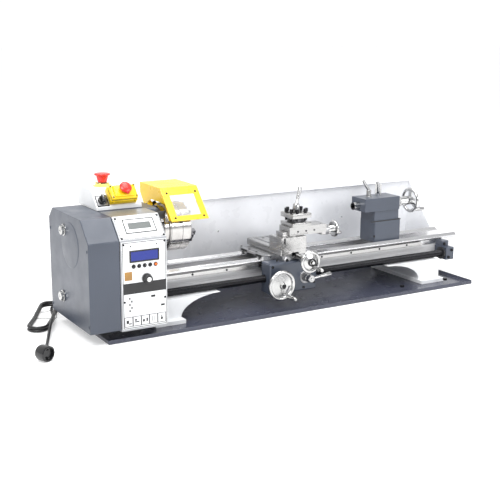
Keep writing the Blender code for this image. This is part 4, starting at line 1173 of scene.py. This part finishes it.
def make_toolpost():
    post = Node("toolpost")
    x, y = post.x, post.y
    half, core, top = 30.0, 17.3, 242
    plates = Form().box((x - half, y - half, 207.4), (x + half, y + half, 217.5), 0.9)
    plates.box((x - half, y - half, 229.5), (x + half, y + half, top), 0.9)
    plates.done("toolpost_plates", "steel", "toolpost", STEEL, replaces="toolpost")
    block = Form().box((x - core, y - core, 217.4), (x + core, y + core, 229.6), 1.2)
    block.done("toolpost_core", "jaw", "toolpost", STEEL)
    screws = Form()
    for turn in range(4):
        for across in (-12.5, 12.5):
            place = stand((x, y, 0), "+z", math.pi / 2 * turn)
            seat = place @ Matrix.Translation((23.6, across, 0))
            screws.turned([(0, 245.6), (3.0, 245.6), (3.0, 222.5), (2.2, 221), (0, 221)], seat, 20)
            screws.box((-3.6, -3.6, 0), (3.6, 3.6, 9.0), 0.7, seat @ Matrix.Translation((0, 0, 244.8)))
            screws.turned([(0, 245.4), (4.9, 245.4), (5.1, 244.9), (4.9, 244.2), (0, 244.2)], seat, 24)
    screws.done("tool_screws", "dark", "toolpost", BLACK_STEEL)
    form = Form().turned([(0, 24), (6.4, 24), (8.6, 21), (9.8, 9), (9.9, 4), (9.9, 0.4), (0, 0.4)],
                         stand((x, y, top)), 44)
    start, end = Vector((x, y, 262)), Vector((x + 18, y + 9, 307))
    form.tube([start, start.lerp(end, 0.34), start.lerp(end, 0.36), end.lerp(start, 0.03), end],
              [3.8, 3.8, 4.6, 6.0, 5.0], 28)
    form.done("toolpost_handle", "grip", "toolpost_lever", STEEL, replaces="toolpost_lever")


# ---------------------------------------------------------------- tailstock

def make_tailstock():
    keep("tailstock_body", "grey", 1.6, 3)
    keep("quill", "chrome", 0.5)
    body, quill = Node("tailstock_body"), Node("quill")
    bore = Form().turned([(6.9, 0.15), (10.9, 0.15), (10.9, -0.05), (6.9, -0.05)],
                         stand((quill.x0, quill.y, quill.z), "-x"), 48)
    bore.ring(6.7, 6.35, 0.2, 40, stand((quill.x0 + 0.3, quill.y, quill.z), "+x"), 40)
    bore.done("quill_mouth", "dark", "quill", BLACK_STEEL)
    line = Form().box((body.x0 + 22, body.y0 - 0.08, 181.4), (body.x1 + 0.05, body.y0 + 0.3, 184.2), 0)
    line.box((body.x1 - 6, body.y0 + 0.4, 181.4), (body.x1 + 0.08, body.y1 - 0.4, 184.2), 0)
    line.done("tail_joint", "rubber", "tailstock", BLACK)
    details = Form()
    socket_screw(details, 3.4, stand((body.x1, 17, 168), "+x"), 1.6)
    socket_screw(details, 3.4, stand((body.x1, 53, 168), "+x"), 1.6)
    socket_screw(details, 3.8, stand((body.x0 + 34, body.y0, 140), "-y"), 0.4)
    details.done("tail_screws", "dark", "tailstock", BLACK_STEEL)
    rods = Form()
    for x, y in ((350, 41), (362, 35)):
        rods.rod(2.4, (x, y, 248), 36, "+z", 0.6, 24)
    rods.done("tail_rods", "bright", "tailstock", STEEL)
    seat = stand((320, 35, 250))
    lock = Form().turned([(0, 19.5), (5.4, 19.5), (6.6, 18.4), (6.9, 17), (6.9, 1), (0, 1)], seat, 40)
    lock.capped(9.2, 0.2, 1.6, 0.6, 0.6, seat)
    bend = [(320, 35, 266), (318.5, 35, 271), (312, 35, 279), (306, 35, 288), (300, 35, 297)]
    lock.tube(smooth_path(bend, 2), 4.1, 20)
    lock.done("quill_lock_handle", "grip", "quill_lock_lever", STEEL, replaces="quill_lock_lever")
    hub = (392, body.y1, 160)
    clamp = Form().turned([(0, 14.2), (8.8, 14.2), (10.8, 12.4), (10.9, 0.5), (0, 0.5)], stand(hub, "+y"), 44)
    bend = [(392, 78, 160), (391.8, 78, 176), (391, 79, 200), (389, 79.5, 240), (386.4, 80, 282)]
    path = smooth_path(bend, 5)
    clamp.tube(path, [3.6 if p.z < 238 else 4.0 + 1.2 * min(1, (p.z - 238) / 8) * min(1, (287 - p.z) / 5)
                      for p in path], 24)
    clamp.done("tail_clamp_handle", "grip", "tailstock_clamp_lever", STEEL, replaces="tailstock_clamp_lever")
    make_tail_wheel()


def make_tail_wheel():
    """Three flat spokes and a round rim, chromed."""
    node, centre, radius, dish, reach = "tailstock_handwheel", (470, 35, 227), 37, 9, 63.7
    place = stand(centre, "+x")
    form = Form()
    rim = []
    for step in range(16):
        angle = -2 * math.pi * step / 16
        rim.append((radius - 4.6 + 4.6 * math.cos(angle), 4.6 + 4.4 * math.sin(angle)))
    form.turned(rim, place, 96)
    top = dish + 5.6
    form.turned([(0, top), (7, top), (9.4, top - 1.4), (12.6, dish - 1), (13, dish - 5), (13, 0.6 - reach),
                 (12.4, -reach), (0, -reach)], place, 64)
    for turn in range(3):
        spoke = place @ Matrix.Rotation(math.radians(90 + 120 * turn), 4, "Z")
        form.box((-7, 8, 2.2), (7, radius - 5, 7.2), 1.6, spoke, 3)
    form.done("tail_wheel_rim", "tail_wheel", node, CHROME, angle=50, replaces=node)
    profile = [(0, 52), (3.4, 52), (4.8, 50.4), (5.4, 44), (5.4, 32), (4.7, 22), (3.9, 14), (4.4, 11),
               (4.5, 9.4), (3.1, 8.6), (3.1, 3), (0, 3)]
    spot = Vector(centre) + Vector((0, -8, -28))
    Form().turned(profile, stand(spot, "+x"), 40).done(node + "_grip", "grip", node, STEEL)
    nut = Form().capped(5.4, 0, 4.6, 0.8, 0.8, stand((centre[0] + top, *centre[1:]), "+x"), 6)
    nut.done(node + "_nut", "dark", node, BLACK_STEEL, 0.3)
    make_dial(node, stand((413, 35, 227), "+x"), 17, 13)


# ---------------------------------------------------------------- the whole machine

looks = make_materials()
for step in (make_camera, make_lead, make_studio, make_end_cover, make_control_box, make_controls,
             make_switches, make_guard, make_headstock, make_bed, make_leadscrew, make_carriage, make_wheels,
             make_half_nut, make_slides, make_toolpost, make_tailstock):
    step()
